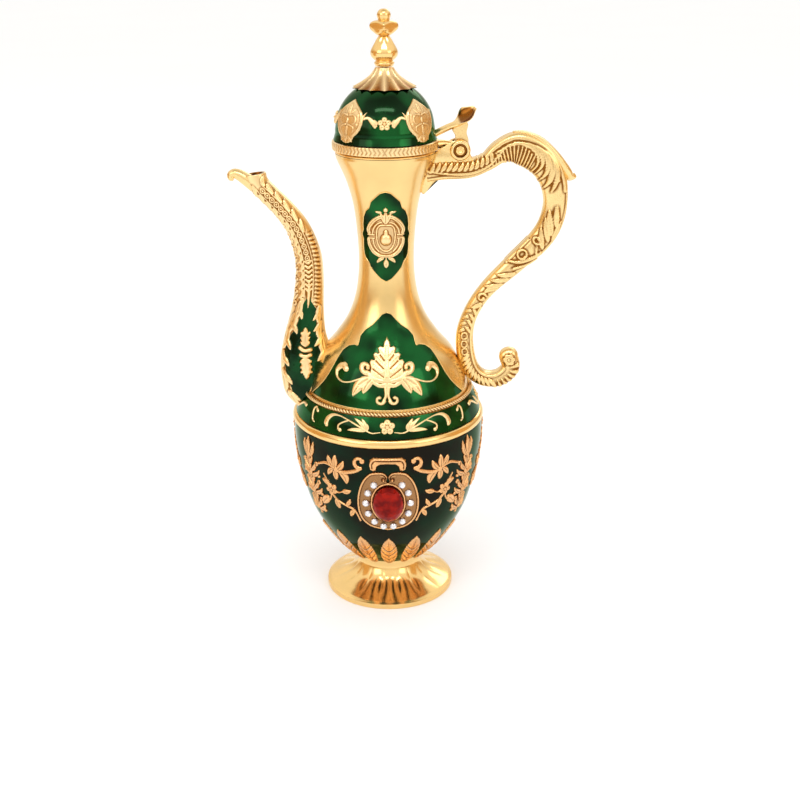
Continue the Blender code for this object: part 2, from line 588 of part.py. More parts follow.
def build_jewels(label, side):
    build_setting("gem_setting_" + label, side)
    slope = (radius_at(bowl_outer, GEM_HEIGHT + 8) - radius_at(bowl_outer, GEM_HEIGHT - 8)) / 16
    tilt = math.atan(slope)
    seat = bowl_point(0.0, GEM_HEIGHT, 0.0, side)
    width, height = GEM_HALF_WIDTH, GEM_HALF_HEIGHT
    jewel("gem_" + label, seat, tilt, side,
          [(0.9 * width, 0.9 * height, 0.5), (width, height, 1.9), (0.93 * width, 0.94 * height, 2.8),
           (0.6 * width, 0.66 * height, 4.2)], RUBY_GLASS, 16)
    spacing = 2 * math.pi / (STONES_PER_SIDE + 2)
    for number in range(STONES_PER_SIDE):
        turn = -math.pi / 2 + spacing * (number + 0.5 - STONES_PER_SIDE / 2)
        across = STONE_RING[0] * math.cos(turn)
        height = GEM_HEIGHT + STONE_RING[1] * math.sin(turn)
        radius = STONE_RADIUS
        jewel(f"stone_{label}_{number + 1:02d}", bowl_point(across, height, 2.3, side), tilt, side,
              [(radius, radius, 0.0), (radius, radius, 0.5), (0.55 * radius, 0.55 * radius, 1.1)],
              CRYSTAL, 8)


# ---------------------------------------------------------------- assembly

def build():
    hinge = bpy.data.objects.new("lid_hinge_axis", None)
    hinge.location = Vector((HINGE_X, 0.0, HINGE_Z)) * MM
    pot.objects.link(hinge)
    bpy.context.view_layer.update()
    build_foot()
    build_foot_screw()
    build_bowl()
    build_girdle()
    build_upper_body()
    build_rope_ring()
    build_mouth_collar()
    clearance = clearance_body()
    build_spout(clearance)
    build_handle(clearance)
    clearance.hide_render = True
    clearance.display_type = "WIRE"
    build_hinge_pin()
    for label, side in (("front", -1), ("back", 1)):
        build_jewels(label, side)
    for piece in build_lid() + [build_lever()] + build_finial():
        on_hinge(piece, hinge)


build()
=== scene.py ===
"""Dallah coffee pot: fine surfaces, cast relief, enamel, jewels and light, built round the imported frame.

Lengths are in millimetres and are turned into metres when a mesh is made. Ornament is drawn on charts: on a
turned surface `girth` is the distance round it from the front and `s` the distance up its outline, and on a
swept casting `t` is the distance along its centre line and `v` the distance from that line to the outer side.
"""

import json
import math

import bmesh
import bpy
import numpy as np
from mathutils import Matrix, Vector


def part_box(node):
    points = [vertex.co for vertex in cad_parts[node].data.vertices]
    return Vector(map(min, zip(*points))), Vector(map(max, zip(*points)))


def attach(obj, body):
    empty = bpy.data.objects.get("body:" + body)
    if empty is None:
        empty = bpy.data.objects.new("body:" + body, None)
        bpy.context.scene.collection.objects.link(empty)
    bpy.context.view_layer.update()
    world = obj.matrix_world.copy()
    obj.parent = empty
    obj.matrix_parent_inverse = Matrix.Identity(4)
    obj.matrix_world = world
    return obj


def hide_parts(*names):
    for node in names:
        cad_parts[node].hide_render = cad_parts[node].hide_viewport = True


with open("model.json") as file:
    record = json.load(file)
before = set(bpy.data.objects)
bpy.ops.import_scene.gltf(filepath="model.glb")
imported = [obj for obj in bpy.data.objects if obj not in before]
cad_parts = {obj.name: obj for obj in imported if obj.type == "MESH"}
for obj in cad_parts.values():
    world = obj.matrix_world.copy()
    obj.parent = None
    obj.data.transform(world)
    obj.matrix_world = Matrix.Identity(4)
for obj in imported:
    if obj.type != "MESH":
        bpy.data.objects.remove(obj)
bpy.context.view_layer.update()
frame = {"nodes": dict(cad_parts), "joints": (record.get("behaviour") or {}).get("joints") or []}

MM = 0.001
GAP = 0.3
TAU = 2 * math.pi


# ---------------------------------------------------------------- sizes read from the frame

def low(node):
    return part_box(node)[0] / MM


def high(node):
    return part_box(node)[1] / MM


ROPE_SEAT = 0.85               # from the ring's outer edge to the rope's centre line
FOOT_RADIUS = high("foot").x
FOOT_TOP = high("foot").z
BOWL_BASE = low("lower_bowl").z
BOWL_TOP = high("lower_bowl").z
BELLY_RADIUS = high("lower_bowl").x
GIRDLE_BOTTOM = low("girdle_band").z
GIRDLE_TOP = high("girdle_band").z
FRIEZE_BOTTOM = low("upper_body").z
NECK_TOP = high("upper_body").z
ROPE_RADIUS = high("rope_ring").x - ROPE_SEAT
ROPE_HEIGHT = (low("rope_ring").z + high("rope_ring").z) / 2
MOUTH_RADIUS = high("mouth_collar").x
MOUTH_TOP = high("mouth_collar").z
RIM_RADIUS = high("lid_rim").x
RIM_BOTTOM = low("lid_rim").z
RIM_TOP = high("lid_rim").z
DOME_BOTTOM = low("lid_dome").z
SKIRT_BOTTOM = low("finial_skirt").z
SKIRT_TOP = high("finial_skirt").z
BULB_TOP = high("finial_bulb").z
FINIAL_TOP = high("finial_knob").z
HINGE = Vector(frame["joints"][0]["pos_m"]) / MM
GEM_SIZE = (high("gem_front") - low("gem_front")) / 2
GEM_HEIGHT = (high("gem_front").z + low("gem_front").z) / 2

WALL = 1.7
LID_WALL = 1.4
SPOUT_WALL = 1.3
SCREW_BORE = 2.3               # radius of the foot screw's hole
STUD_BORE = 1.8                # radius of the finial stud's hole
ROPE_WIRE = 0.95
LEDGE_HEIGHT = 106.0           # the step that the rope ring lies on
LIP_HEIGHT = MOUTH_TOP - 1.0   # the neck's wall runs up to here, under the mouth's bead
LIP_RADIUS = 22.95

# Outlines as (radius, height), from top to bottom.
BOWL_OUTLINE = [(BELLY_RADIUS, BOWL_TOP), (45.4, 78.0), (42.4, 60.0), (37.5, 45.0), (28.5, 30.0),
                (20.0, 20.5), (15.0, BOWL_BASE)]
SHOULDER_OUTLINE = [(22.3, NECK_TOP), (17.9, 207.0), (14.6, 193.5), (12.95, 172.0), (14.3, 156.0),
                    (18.2, 144.0), (24.6, 134.0), (31.6, 125.5), (36.6, 115.5), (39.0, 108.0)]
FRIEZE_OUTLINE = [(40.9, LEDGE_HEIGHT), (43.0, 102.3), (44.8, FRIEZE_BOTTOM)]
DOME_OUTLINE = [(3.0, 251.6), (8.0, 250.6), (13.0, 248.6), (17.8, 244.2), (21.2, 238.4), (22.6, 232.0),
                (22.8, 229.4), (23.6, DOME_BOTTOM)]
FOOT_OUTLINE = [(15.0, FOOT_TOP), (15.6, 13.0), (19.5, 8.5), (26.0, 5.2), (30.4, 3.4)]

# Spout sections as (x, z, half width, half depth, tilt of the section in degrees), base to tip.
SPOUT_SECTIONS = [(-33.0, 97.2, 11.5, 9.5, 0.0), (-37.0, 104.0, 13.0, 11.5, 0.0),
                  (-38.5, 113.0, 13.0, 12.0, 0.0), (-39.1, 124.0, 12.2, 11.0, 0.0),
                  (-39.2, 135.0, 9.6, 8.8, 0.0), (-37.6, 148.0, 7.6, 7.2, -3.0),
                  (-36.4, 161.0, 6.7, 6.5, 0.0), (-36.9, 173.0, 6.3, 6.0, 10.0),
                  (-40.9, 185.0, 5.6, 5.4, 28.0), (-47.2, 194.0, 5.0, 4.9, 42.0),
                  (-54.2, 201.5, 4.8, 4.6, 45.0), (-58.0, 205.6, 4.9, 4.5, 38.0),
                  (-60.2, 210.8, 5.2, 4.3, 8.0)]

# Handle sections as (x, z, half width, half depth), from the neck round the arch to the curl.
HANDLE_SECTIONS = [(15.0, 211.0, 4.6, 5.0), (26.0, 212.6, 4.7, 5.2), (38.0, 213.0, 4.3, 5.6),
                   (46.2, 215.8, 4.0, 5.2), (52.5, 220.2, 5.2, 4.8), (60.5, 221.8, 7.2, 4.8),
                   (70.0, 217.4, 7.4, 4.8), (76.2, 209.0, 6.6, 4.8), (78.4, 198.5, 5.7, 4.6),
                   (76.8, 188.0, 5.6, 4.6), (71.7, 179.0, 5.4, 4.5), (60.2, 167.6, 4.8, 4.4),
                   (47.8, 155.6, 3.8, 4.2), (40.2, 144.0, 3.6, 4.2), (37.2, 132.0, 4.2, 4.3),
                   (39.2, 118.0, 4.4, 4.4), (45.6, 110.8, 3.8, 4.2), (54.0, 110.4, 4.0, 4.2),
                   (59.6, 115.6, 4.4, 4.2), (58.6, 121.6, 4.7, 4.0)]

# Turns of repeated ornaments about Z, by the label that ends their names.
FACES = {"front": 0.0, "back": math.pi}
FLANKS = {"left": -math.pi / 2, "right": math.pi / 2}
COLUMN_ANGLE = 54.5            # degrees from the front or the back
SHIELD_ANGLE = 47.5


def four_corners(degrees):
    """Turns of four ornaments that stand at an angle to both sides of the front and of the back."""
    angle = math.radians(degrees)
    return {"1": -angle, "2": angle, "3": math.pi - angle, "4": math.pi + angle}


# ---------------------------------------------------------------- materials

def noise(tree, scale):
    """Solid noise in the object's own space; `scale` is in cycles per metre."""
    place = tree.nodes.new("ShaderNodeTexCoord")
    texture = tree.nodes.new("ShaderNodeTexNoise")
    texture.inputs["Scale"].default_value = scale
    tree.links.new(place.outputs["Object"], texture.inputs["Vector"])
    return texture.outputs["Fac"]


def between(tree, factor, start=0.0, end=1.0, low_in=0.3, high_in=0.7):
    """A number that runs from start to end as the factor runs from low_in to high_in."""
    node = tree.nodes.new("ShaderNodeMapRange")
    for socket, value in zip(("From Min", "From Max", "To Min", "To Max"), (low_in, high_in, start, end)):
        node.inputs[socket].default_value = value
    tree.links.new(factor, node.inputs["Value"])
    return node.outputs["Result"]


def blended(tree, factor, first, second):
    """A colour mixed from two, each a colour or another node's output."""
    node = tree.nodes.new("ShaderNodeMix")
    node.data_type = "RGBA"
    tree.links.new(factor, node.inputs["Factor"])
    for socket, value in ((node.inputs[6], first), (node.inputs[7], second)):
        if isinstance(value, tuple):
            socket.default_value = (*value, 1.0)
        else:
            tree.links.new(value, socket)
    return node.outputs[2]


def bump(tree, shader, height, distance):
    """Raises the shader's surface by up to distance, in metres."""
    node = tree.nodes.new("ShaderNodeBump")
    node.inputs["Distance"].default_value = distance
    tree.links.new(height, node.inputs["Height"])
    tree.links.new(node.outputs["Normal"], shader.inputs["Normal"])


def attribute(tree, name):
    node = tree.nodes.new("ShaderNodeAttribute")
    node.attribute_name = name
    return node.outputs["Fac"]


def new_material(name, **sockets):
    material = bpy.data.materials.new(name)
    material.use_nodes = True
    shader = material.node_tree.nodes["Principled BSDF"]
    for socket, value in sockets.items():
        shader.inputs[socket.replace("_", " ")].default_value = value
    return material, material.node_tree, shader


def crease_of(tree):
    """How deep in a crease the surface lies, from 0 to 1."""
    return between(tree, attribute(tree, "crease"), low_in=0.02, high_in=0.6)


def make_metal(name, colour, roughness, deep=None, spread=0.05, hammer=0.00002):
    """Gilt or plated metal: uneven polish, a faint casting skin and perhaps painted shade in the creases."""
    material, tree, shader = new_material(name, Metallic=1.0)
    skin = noise(tree, 1500.0)
    tint = blended(tree, between(tree, noise(tree, 120.0)), tuple(0.93 * c for c in colour), colour)
    # deep is painted shade, blended in by how far down in a crease each point lies
    if deep:
        tint = blended(tree, crease_of(tree), tint, deep)
    tree.links.new(tint, shader.inputs["Base Color"])
    tree.links.new(between(tree, skin, roughness - spread, roughness + spread), shader.inputs["Roughness"])
    bump(tree, shader, skin, hammer)
    return material


def make_enamel(name, colour, deep, metallic=0.95):
    """Translucent enamel fired over metal: a soft metallic body under a hard clear coat."""
    material, tree, shader = new_material(name, Metallic=metallic, Coat_Weight=0.4, Coat_Roughness=0.04,
                                          Coat_IOR=1.3, Specular_Tint=(0.45, 0.60, 0.45, 1.0))
    cloud = between(tree, noise(tree, 55.0), low_in=0.40, high_in=0.62)
    tree.links.new(blended(tree, cloud, deep, colour), shader.inputs["Base Color"])
    tree.links.new(between(tree, noise(tree, 900.0), 0.12, 0.18), shader.inputs["Roughness"])
    bump(tree, shader, noise(tree, 220.0), 0.00003)
    return material


def make_spout_metal(name, gold, deep, green):
    """The spout's casting: gilt relief, with enamel where the attribute `enamel` is above zero."""
    material, tree, shader = new_material(name, Coat_Roughness=0.05, Coat_IOR=1.3)
    fill = between(tree, attribute(tree, "enamel"), low_in=-0.03, high_in=0.03)
    # deep is painted shade, laid into the relief's creases
    bare = blended(tree, crease_of(tree), gold, deep)
    cloud = between(tree, noise(tree, 70.0), low_in=0.40, high_in=0.60)
    tone = blended(tree, cloud, tuple(0.3 * c for c in green), green)
    tree.links.new(blended(tree, fill, bare, tone), shader.inputs["Base Color"])
    for socket, on_gold, on_enamel in (("Metallic", 1.0, 0.95), ("Roughness", 0.28, 0.18),
                                       ("Coat Weight", 0.0, 0.4)):
        tree.links.new(between(tree, fill, on_gold, on_enamel, 0.0, 1.0), shader.inputs[socket])
    bump(tree, shader, noise(tree, 1500.0), 0.00002)
    return material


def make_gem(name, colour, deep, metallic, roughness):
    """Foil-backed cut glass: the foil's colour shifts a little from facet to facet."""
    material, tree, shader = new_material(name, Metallic=metallic, Roughness=roughness, Coat_Weight=0.35,
                                          Coat_Roughness=0.01, Coat_IOR=1.4)
    cloud = between(tree, noise(tree, 260.0), low_in=0.35, high_in=0.65)
    tree.links.new(blended(tree, cloud, deep, colour), shader.inputs["Base Color"])
    return material


GOLD = make_metal("gold", (0.92, 0.62, 0.25), 0.17, spread=0.03, hammer=0.000004)
BODY_GOLD = make_metal("body_gold", (0.88, 0.62, 0.265), 0.25, spread=0.02, hammer=0.000003)
# The last colour of these three golds is painted shade for their creases.
RELIEF_GOLD = make_metal("relief_gold", (0.98, 0.73, 0.38), 0.30, (0.30, 0.11, 0.02))
CAST_GOLD = make_metal("cast_gold", (0.92, 0.66, 0.30), 0.25, (0.24, 0.085, 0.012), hammer=0.00001)
COPPER_GOLD = make_metal("copper_gold", (0.84, 0.46, 0.20), 0.26, (0.09, 0.03, 0.008))
GREEN_ENAMEL = make_enamel("green_enamel", (0.006, 0.100, 0.020), (0.002, 0.020, 0.004))
DARK_ENAMEL = make_enamel("dark_enamel", (0.002, 0.014, 0.005), (0.006, 0.004, 0.001), 0.97)
# Its second colour is painted shade for the gilt relief's creases.
SPOUT_GOLD = make_spout_metal("spout_gold", (0.95, 0.69, 0.35), (0.26, 0.10, 0.015), (0.004, 0.060, 0.013))
RUBY = make_gem("ruby_glass", (0.34, 0.008, 0.002), (0.14, 0.001, 0.0005), 1.0, 0.14)
CRYSTAL = make_gem("crystal", (0.98, 0.97, 0.98), (0.62, 0.62, 0.68), 0.6, 0.04)
STEEL = make_metal("steel", (0.60, 0.60, 0.58), 0.35)


# ---------------------------------------------------------------- curves and turned surfaces

def smoothed(points, per_span=10):
    """A Catmull-Rom curve through the points, which may have any number of columns."""
    rows = np.array(points, float)
    rows = np.vstack([2 * rows[0] - rows[1], rows, 2 * rows[-1] - rows[-2]])
    t = (np.arange(per_span) / per_span)[:, None]
    spans = [0.5 * (2 * b + (c - a) * t + (2 * a - 5 * b + 4 * c - d) * t * t
                    + (3 * b - a - 3 * c + d) * t ** 3)
             for a, b, c, d in zip(rows, rows[1:], rows[2:], rows[3:])]
    return np.vstack(spans + [rows[-2:-1]])


def resampled(points, step):
    """The points evenly spaced along the path that their first two columns give, and the lengths there."""
    length = np.r_[0, np.cumsum(np.linalg.norm(np.diff(points[:, :2], axis=0), axis=1))]
    t = np.linspace(0, length[-1], max(2, round(length[-1] / step) + 1))
    return np.stack([np.interp(t, length, column) for column in points.T], 1), t


class TurnedSurface:
    """The outer surface turned from an outline, with its chart."""

    def __init__(self, outline):
        self.outline = smoothed(outline)[::-1]
        steps = np.linalg.norm(np.diff(self.outline, axis=0), axis=1)
        self.s = np.r_[0, np.cumsum(steps)]
        self.length = self.s[-1]
        along = np.gradient(self.outline, self.s, axis=0)
        along /= np.linalg.norm(along, axis=1)[:, None]
        self.outward = np.stack([along[:, 1], -along[:, 0]], 1)

    def radius(self, s):
        return np.interp(s, self.s, self.outline[:, 0])

    def s_at(self, height):
        return float(np.interp(height, self.outline[:, 1], self.s))

    def point(self, girth, s, lift, turn):
        """Points of the chart in space, raised by lift; turn is the angle of the chart's middle."""
        r, z = (np.interp(s, self.s, column) for column in self.outline.T)
        out_r, out_z = (np.interp(s, self.s, column) for column in self.outward.T)
        angle = girth / r + turn
        reach = r + lift * out_r
        return np.stack([reach * np.sin(angle), -reach * np.cos(angle), z + lift * out_z], -1)


BOWL = TurnedSurface(BOWL_OUTLINE)
SHOULDER = TurnedSurface(SHOULDER_OUTLINE)
FRIEZE = TurnedSurface(FRIEZE_OUTLINE)
DOME = TurnedSurface(DOME_OUTLINE)


# ---------------------------------------------------------------- relief

EDGE_SLOPE = 2.4      # of the steep side of every raised shape
CROWN_FALL = 0.65     # how far a raised line falls from its middle to its edge, of its height
VEIN_WIDTH = 0.22     # of a leaf's half width
CURL_END = 0.42       # of a curl's radius, where it ends in its bead
PETAL = 0.42          # of a flower's radius
PETAL_PLACE = 0.58    # of a flower's radius
MARGIN = 0.6          # round a stamp, where its edge may still rise
DEEP_CREASE = 0.3     # a hollow this deep has full painted shade


def crown(inside, half, height, vein):
    """Height of a raised shape, steep at its edge and rounded on top; inside is the distance to its edge."""
    across = np.clip(1 - inside / np.maximum(half, 1e-6), 0, 1)
    top = height * (1 - CROWN_FALL * across ** 2 - vein * np.exp(-(across / VEIN_WIDTH) ** 2))
    return np.minimum(EDGE_SLOPE * inside, top)


class Relief:
    """Heights over a chart, built up from stamps. Where stamps overlap, the highest shows."""

    def __init__(self, x, y, ground=-2.0):
        self.x, self.y = x, y
        self.height = np.full(x.shape, float(ground))
        self.size = 1.0

    def half(self, base=0.0, size=1.0):
        """The same relief moved up to base, scaled and mirrored, so that drawing a right half draws both."""
        other = Relief.__new__(Relief)
        other.x = np.abs(self.x / size)
        other.y = (self.y - base) / size
        other.height = self.height
        other.size = self.size * size
        return other

    def near(self, points, margin):
        lo, hi = np.min(points, axis=0) - margin, np.max(points, axis=0) + margin
        return (self.x > lo[0]) & (self.x < hi[0]) & (self.y > lo[1]) & (self.y < hi[1])

    def put(self, where, heights):
        self.height[where] = np.maximum(self.height[where], heights * self.size)

    def gap_to(self, where, path):
        """Distance to the edge of a path of (x, y, half width), negative inside, and the half width there."""
        px, py = self.x[where], self.y[where]
        gap, half = np.full(px.shape, 1e6), np.zeros(px.shape)
        for (ax, ay, aw), (bx, by, bw) in zip(path, path[1:]):
            dx, dy = bx - ax, by - ay
            t = np.clip(((px - ax) * dx + (py - ay) * dy) / max(dx * dx + dy * dy, 1e-9), 0, 1)
            width = aw + (bw - aw) * t
            here = np.hypot(px - ax - t * dx, py - ay - t * dy) - width
            closer = here < gap
            gap, half = np.where(closer, here, gap), np.where(closer, width, half)
        return gap, half

    def stroke(self, points, widths, height=0.7, vein=0.0, per_span=5):
        """A raised line through the points; widths are half widths, spread evenly along it."""
        widths = np.interp(np.linspace(0, 1, len(points)), np.linspace(0, 1, len(widths)), widths)
        path = smoothed(np.column_stack([points, widths]), per_span)
        where = self.near(path[:, :2], max(widths) + MARGIN)
        gap, half = self.gap_to(where, path)
        self.put(where, crown(-gap, half, np.minimum(height, 1.3 * half + 0.1), vein))

    def leaf(self, base, tip, half, bend=0.0, height=0.8, vein=0.35):
        """A pointed leaf; bend moves its middle to the left of the way from base to tip."""
        base, tip = np.array(base, float), np.array(tip, float)
        side = np.array([base[1] - tip[1], tip[0] - base[0]])
        t = np.linspace(0, 1, 9)
        spine = base + np.outer(t, tip - base) + np.outer(4 * t * (1 - t), side * bend)
        widths = half * np.sin(math.pi * t ** 0.8) ** 0.75 + 0.12
        self.stroke(spine, widths, height, vein, per_span=2)

    def leaves(self, rows, bend=0.0, height=0.8):
        """Leaves from rows of base, tip, half width and perhaps a bend of their own."""
        for base, tip, half, *own in rows:
            self.leaf(base, tip, half, *(own or [bend]), height)

    def ball(self, cx, cy, rx, ry=None, height=0.9, dish=0.0):
        ry = rx if ry is None else ry
        where = self.near([(cx - rx, cy - ry), (cx + rx, cy + ry)], MARGIN)
        reach = np.hypot((self.x[where] - cx) / rx, (self.y[where] - cy) / ry)
        dome = height * np.sqrt(np.clip(1 - reach ** 2, 0, 1)) * (1 - dish * np.exp(-(reach / 0.3) ** 2))
        self.put(where, np.where(reach < 1, dome, EDGE_SLOPE * min(rx, ry) * (1 - reach)))

    def ring(self, cx, cy, rx, ry, half, height=0.7):
        """A raised oval line."""
        turns = np.linspace(0, TAU, 25)
        oval = np.column_stack([cx + rx * np.cos(turns), cy + ry * np.sin(turns)])
        self.stroke(oval, [half], height, per_span=1)

    def curl(self, cx, cy, radius, start, sweep, widths=(0.7, 0.5), height=0.8):
        """A spiral that ends in a bead at its centre; start and sweep are in degrees."""
        turns = np.radians(start + np.linspace(0, sweep, 14))
        reach = radius * np.linspace(1, CURL_END, 14)
        points = np.column_stack([cx + reach * np.cos(turns), cy + reach * np.sin(turns)])
        self.stroke(points, widths, height, per_span=2)
        self.ball(*points[-1], CURL_END * radius, height=1.15 * height)

    def flower(self, cx, cy, radius, turn=90.0, petals=5, height=0.8):
        for i in range(petals):
            way = math.radians(turn) + TAU * i / petals
            petal = (cx + PETAL_PLACE * radius * math.cos(way), cy + PETAL_PLACE * radius * math.sin(way))
            self.ball(*petal, PETAL * radius, height=height, dish=0.4)
        self.ball(cx, cy, 0.28 * radius, height=1.35 * height)

    def inside(self, where, corners):
        """Distance inside a closed outline, negative outside it."""
        px, py = self.x[where], self.y[where]
        ring = np.vstack([corners, corners[:1]])
        gap, _ = self.gap_to(where, np.column_stack([ring, np.zeros(len(ring))]))
        crossings = np.zeros(px.shape, bool)
        for (ax, ay), (bx, by) in zip(ring, ring[1:]):
            if ay != by:
                crossings ^= ((ay > py) != (by > py)) & (px < (bx - ax) * (py - ay) / (by - ay) + ax)
        return np.where(crossings, gap, -gap)

    def plate(self, corners, height=0.6, slope=EDGE_SLOPE):
        """A flat raised shape inside a closed outline."""
        corners = np.array(corners, float)
        where = self.near(corners, 1.0)
        self.put(where, np.minimum(slope * self.inside(where, corners), height))

    def groove(self, points, half, depth):
        """Cuts a soft line; the ground is cut too."""
        path = smoothed(np.column_stack([points, np.zeros(len(points))]), 5)
        where = self.near(path[:, :2], 3 * half)
        gap, _ = self.gap_to(where, path)
        self.height[where] -= depth * self.size * np.exp(-(gap / half) ** 2)

    def creases(self, reach):
        """How far each point lies under the mean of its neighbours, from 0 to 1."""
        height = np.maximum(self.height, -0.15)
        mean = height
        for axis in (0, 1):
            padded = np.concatenate([np.repeat(mean.take([0], axis), reach, axis), mean,
                                     np.repeat(mean.take([-1], axis), reach, axis)], axis)
            total = np.cumsum(padded, axis)
            total = np.concatenate([np.zeros_like(total.take([0], axis)), total], axis)
            n = mean.shape[axis]
            mean = (total.take(range(2 * reach + 1, 2 * reach + 1 + n), axis)
                    - total.take(range(n), axis)) / (2 * reach + 1)
        return np.clip((mean - height) / DEEP_CREASE, 0, 1)


def both_sides(half_outline):
    """A closed outline from its right half, which runs from the top to the bottom of the line x = 0."""
    right = np.array(half_outline, float)
    left = right[::-1] * (-1, 1)
    return np.vstack([right, left[1:-1]])


# ---------------------------------------------------------------- meshes

def add_object(name, data):
    thing = bpy.data.objects.new(name, data)
    bpy.context.scene.collection.objects.link(thing)
    return thing


def finish_piece(name, mesh, material, replaced=None, body="pot", sharp=None):
    """A piece that rides on a body and may replace a CAD node. Its one slot holds its material."""
    mesh.materials.append(material)
    mesh.shade_smooth()
    if sharp is not None:
        mesh.set_sharp_from_angle(angle=math.radians(sharp))
    piece = add_object(name, mesh)
    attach(piece, body)
    if replaced:
        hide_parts(replaced)


def mesh_from(name, points, corners, **attributes):
    """A mesh from an (n, 3) array in millimetres and an (m, 4) array of corner numbers."""
    used, corners = np.unique(corners, return_inverse=True)
    corners = corners.reshape(-1, 4)
    points = points.reshape(-1, 3)[used]
    mesh = bpy.data.meshes.new(name)
    mesh.vertices.add(len(points))
    mesh.vertices.foreach_set("co", (points * MM).astype(np.float32).ravel())
    mesh.loops.add(corners.size)
    mesh.loops.foreach_set("vertex_index", corners.astype(np.int32).ravel())
    mesh.polygons.add(len(corners))
    mesh.polygons.foreach_set("loop_start", np.arange(0, corners.size, 4, dtype=np.int32))
    mesh.update(calc_edges=True)
    for label, values in attributes.items():
        layer = mesh.attributes.new(label, "FLOAT", "POINT")
        layer.data.foreach_set("value", values.ravel()[used].astype(np.float32))
    return mesh


def grid_corners(rows, columns, wrap_rows=True):
    """Corner numbers of the cells of a grid of rings; its last ring may join its first."""
    i, j = np.meshgrid(np.arange(rows if wrap_rows else rows - 1), np.arange(columns), indexing="ij")
    below, right = (i + 1) % rows, (j + 1) % columns
    cells = np.stack([i * columns + j, i * columns + right, below * columns + right, below * columns + j], -1)
    return cells.reshape(-1, 4)


UNDERSIDE = -0.45
CREASE_REACH = 3


def relief_on(surface, half_girth, s_low, s_high, step, waist=None):
    """An empty relief over a patch that is symmetric about the line girth = 0. With a waist, which is a value
    of s, its widths are true there and narrow and widen with the surface elsewhere."""
    reach = math.ceil(half_girth / step)
    s, girth = np.meshgrid(np.arange(s_low, s_high + step, step), np.arange(-reach, reach + 1) * step,
                           indexing="ij")
    spread = surface.radius(s) / surface.radius(waist) if waist else 1.0
    relief = Relief(girth / spread, s)
    relief.surface, relief.girth = surface, girth
    return relief


def sheets_on(prefix, relief, material, turns, painted_shade=0.0, body="pot", node=None):
    """Closed plates, one for each labelled turn, whose top is the relief and whose underside lies just under
    the surface. The extra painted shade, a number or an array, is added to the creases' painted shade."""
    height = np.maximum(relief.height, UNDERSIDE + 0.05)
    tall = relief.height > 0
    keep = tall[:-1, :-1] | tall[1:, :-1] | tall[:-1, 1:] | tall[1:, 1:]
    under = height.size
    index = np.arange(under).reshape(height.shape)
    a, b, c, d = index[:-1, :-1], index[:-1, 1:], index[1:, 1:], index[1:, :-1]
    faces = [np.stack([a, b, c, d], -1)[keep], np.stack([d, c, b, a], -1)[keep] + under]
    padded = np.pad(keep, 1)
    for first, second, neighbour in ((a, b, padded[:-2, 1:-1]), (b, c, padded[1:-1, 2:]),
                                     (c, d, padded[2:, 1:-1]), (d, a, padded[1:-1, :-2])):
        edge = keep & ~neighbour
        p, q = first[edge], second[edge]
        faces.append(np.stack([p + under, q + under, q, p], -1))
    # painted shade: creases of the relief, plus the extra shade given for the ground
    crease = relief.creases(CREASE_REACH) + painted_shade
    for label, turn in turns.items():
        name = f"{prefix}_{label}"
        sides = [relief.surface.point(relief.girth, relief.y, lift, turn) for lift in (height, UNDERSIDE)]
        mesh = mesh_from(name, np.stack(sides), np.vstack(faces), crease=np.stack([crease, crease]))
        finish_piece(name, mesh, material, node and f"{node}_{label}", body)


def turned(name, profile, material, replaced=None, body="pot", steps=160, ripple=None, depth=0.5,
           sharp=38):
    """A piece turned about Z from a closed profile that runs down its outer side first. ripple(angle, radius,
    height) is added to the radius; painted shade is full where the ripple is `depth` under its crests."""
    profile = np.array(profile, float)
    angle = np.arange(steps) * TAU / steps
    r, z = profile[:, 0][:, None], profile[:, 1][:, None]
    reach = r + (0 if ripple is None else ripple(angle[None, :], r, z))
    points = np.stack([reach * np.sin(angle), -reach * np.cos(angle), z + 0 * angle], -1)
    # painted shade in the ripple's grooves
    crease = np.clip((reach.max(axis=1, keepdims=True) - reach) / depth, 0, 1) + np.zeros(points.shape[:2])
    mesh = mesh_from(name, points, grid_corners(len(profile), steps)[:, ::-1], crease=crease)
    finish_piece(name, mesh, material, replaced, body, sharp)


def thickened(outline, wall, per_span):
    """The smoothed outline, and the same line moved a wall inwards."""
    outer = smoothed(outline, per_span)
    along = np.gradient(outer, axis=0)
    along /= np.linalg.norm(along, axis=1)[:, None]
    inner = outer - np.stack([-along[:, 1], along[:, 0]], 1) * wall
    return outer, inner


def tube(points, radius, sides=8):
    """Rings of a round wire along a closed path of points in space."""
    path = np.array(points, float)
    along = np.gradient(path, axis=0)
    along /= np.linalg.norm(along, axis=1)[:, None]
    out = path * (1.0, 1.0, 0.0)
    out /= np.maximum(np.linalg.norm(out, axis=1), 1e-9)[:, None]
    side = np.cross(along, out)
    side /= np.linalg.norm(side, axis=1)[:, None]
    out = np.cross(side, along)
    turns = np.arange(sides)[:, None] * TAU / sides
    return path[:, None] + radius * (side[:, None] * np.cos(turns) + out[:, None] * np.sin(turns))


# ---------------------------------------------------------------- foot, bowl, girdle, body

def build_foot():
    """A spreading foot with soft gadroons above a stepped edge, and a recess for the base plate."""
    edge = [(FOOT_RADIUS - 0.9, 2.9), (FOOT_RADIUS - 0.2, 2.5), (FOOT_RADIUS, 1.9), (FOOT_RADIUS, 0.3),
            (FOOT_RADIUS - 0.3, 0.0)]
    recess = high("base_plate").x + GAP
    inside = [(recess, 0.0), (recess, 1.9), (recess - 1.6, 1.9), (24.0, 3.6), (17.8, 7.0), (13.4, 12.0),
              (13.2, 14.0), (SCREW_BORE, 14.0), (SCREW_BORE, FOOT_TOP)]

    def gadroons(angle, r, z):
        """Sixteen soft lobes, cut deepest half way down the slope."""
        swell = np.exp(-((r - 23.0) / 4.6) ** 2) * (z > 3.2)
        return -0.9 * swell * (1 - np.abs(np.cos(8 * angle))) ** 1.3

    turned("foot_casting", np.vstack([smoothed(FOOT_OUTLINE), edge, inside]), GOLD, "foot", steps=384,
           ripple=gadroons)


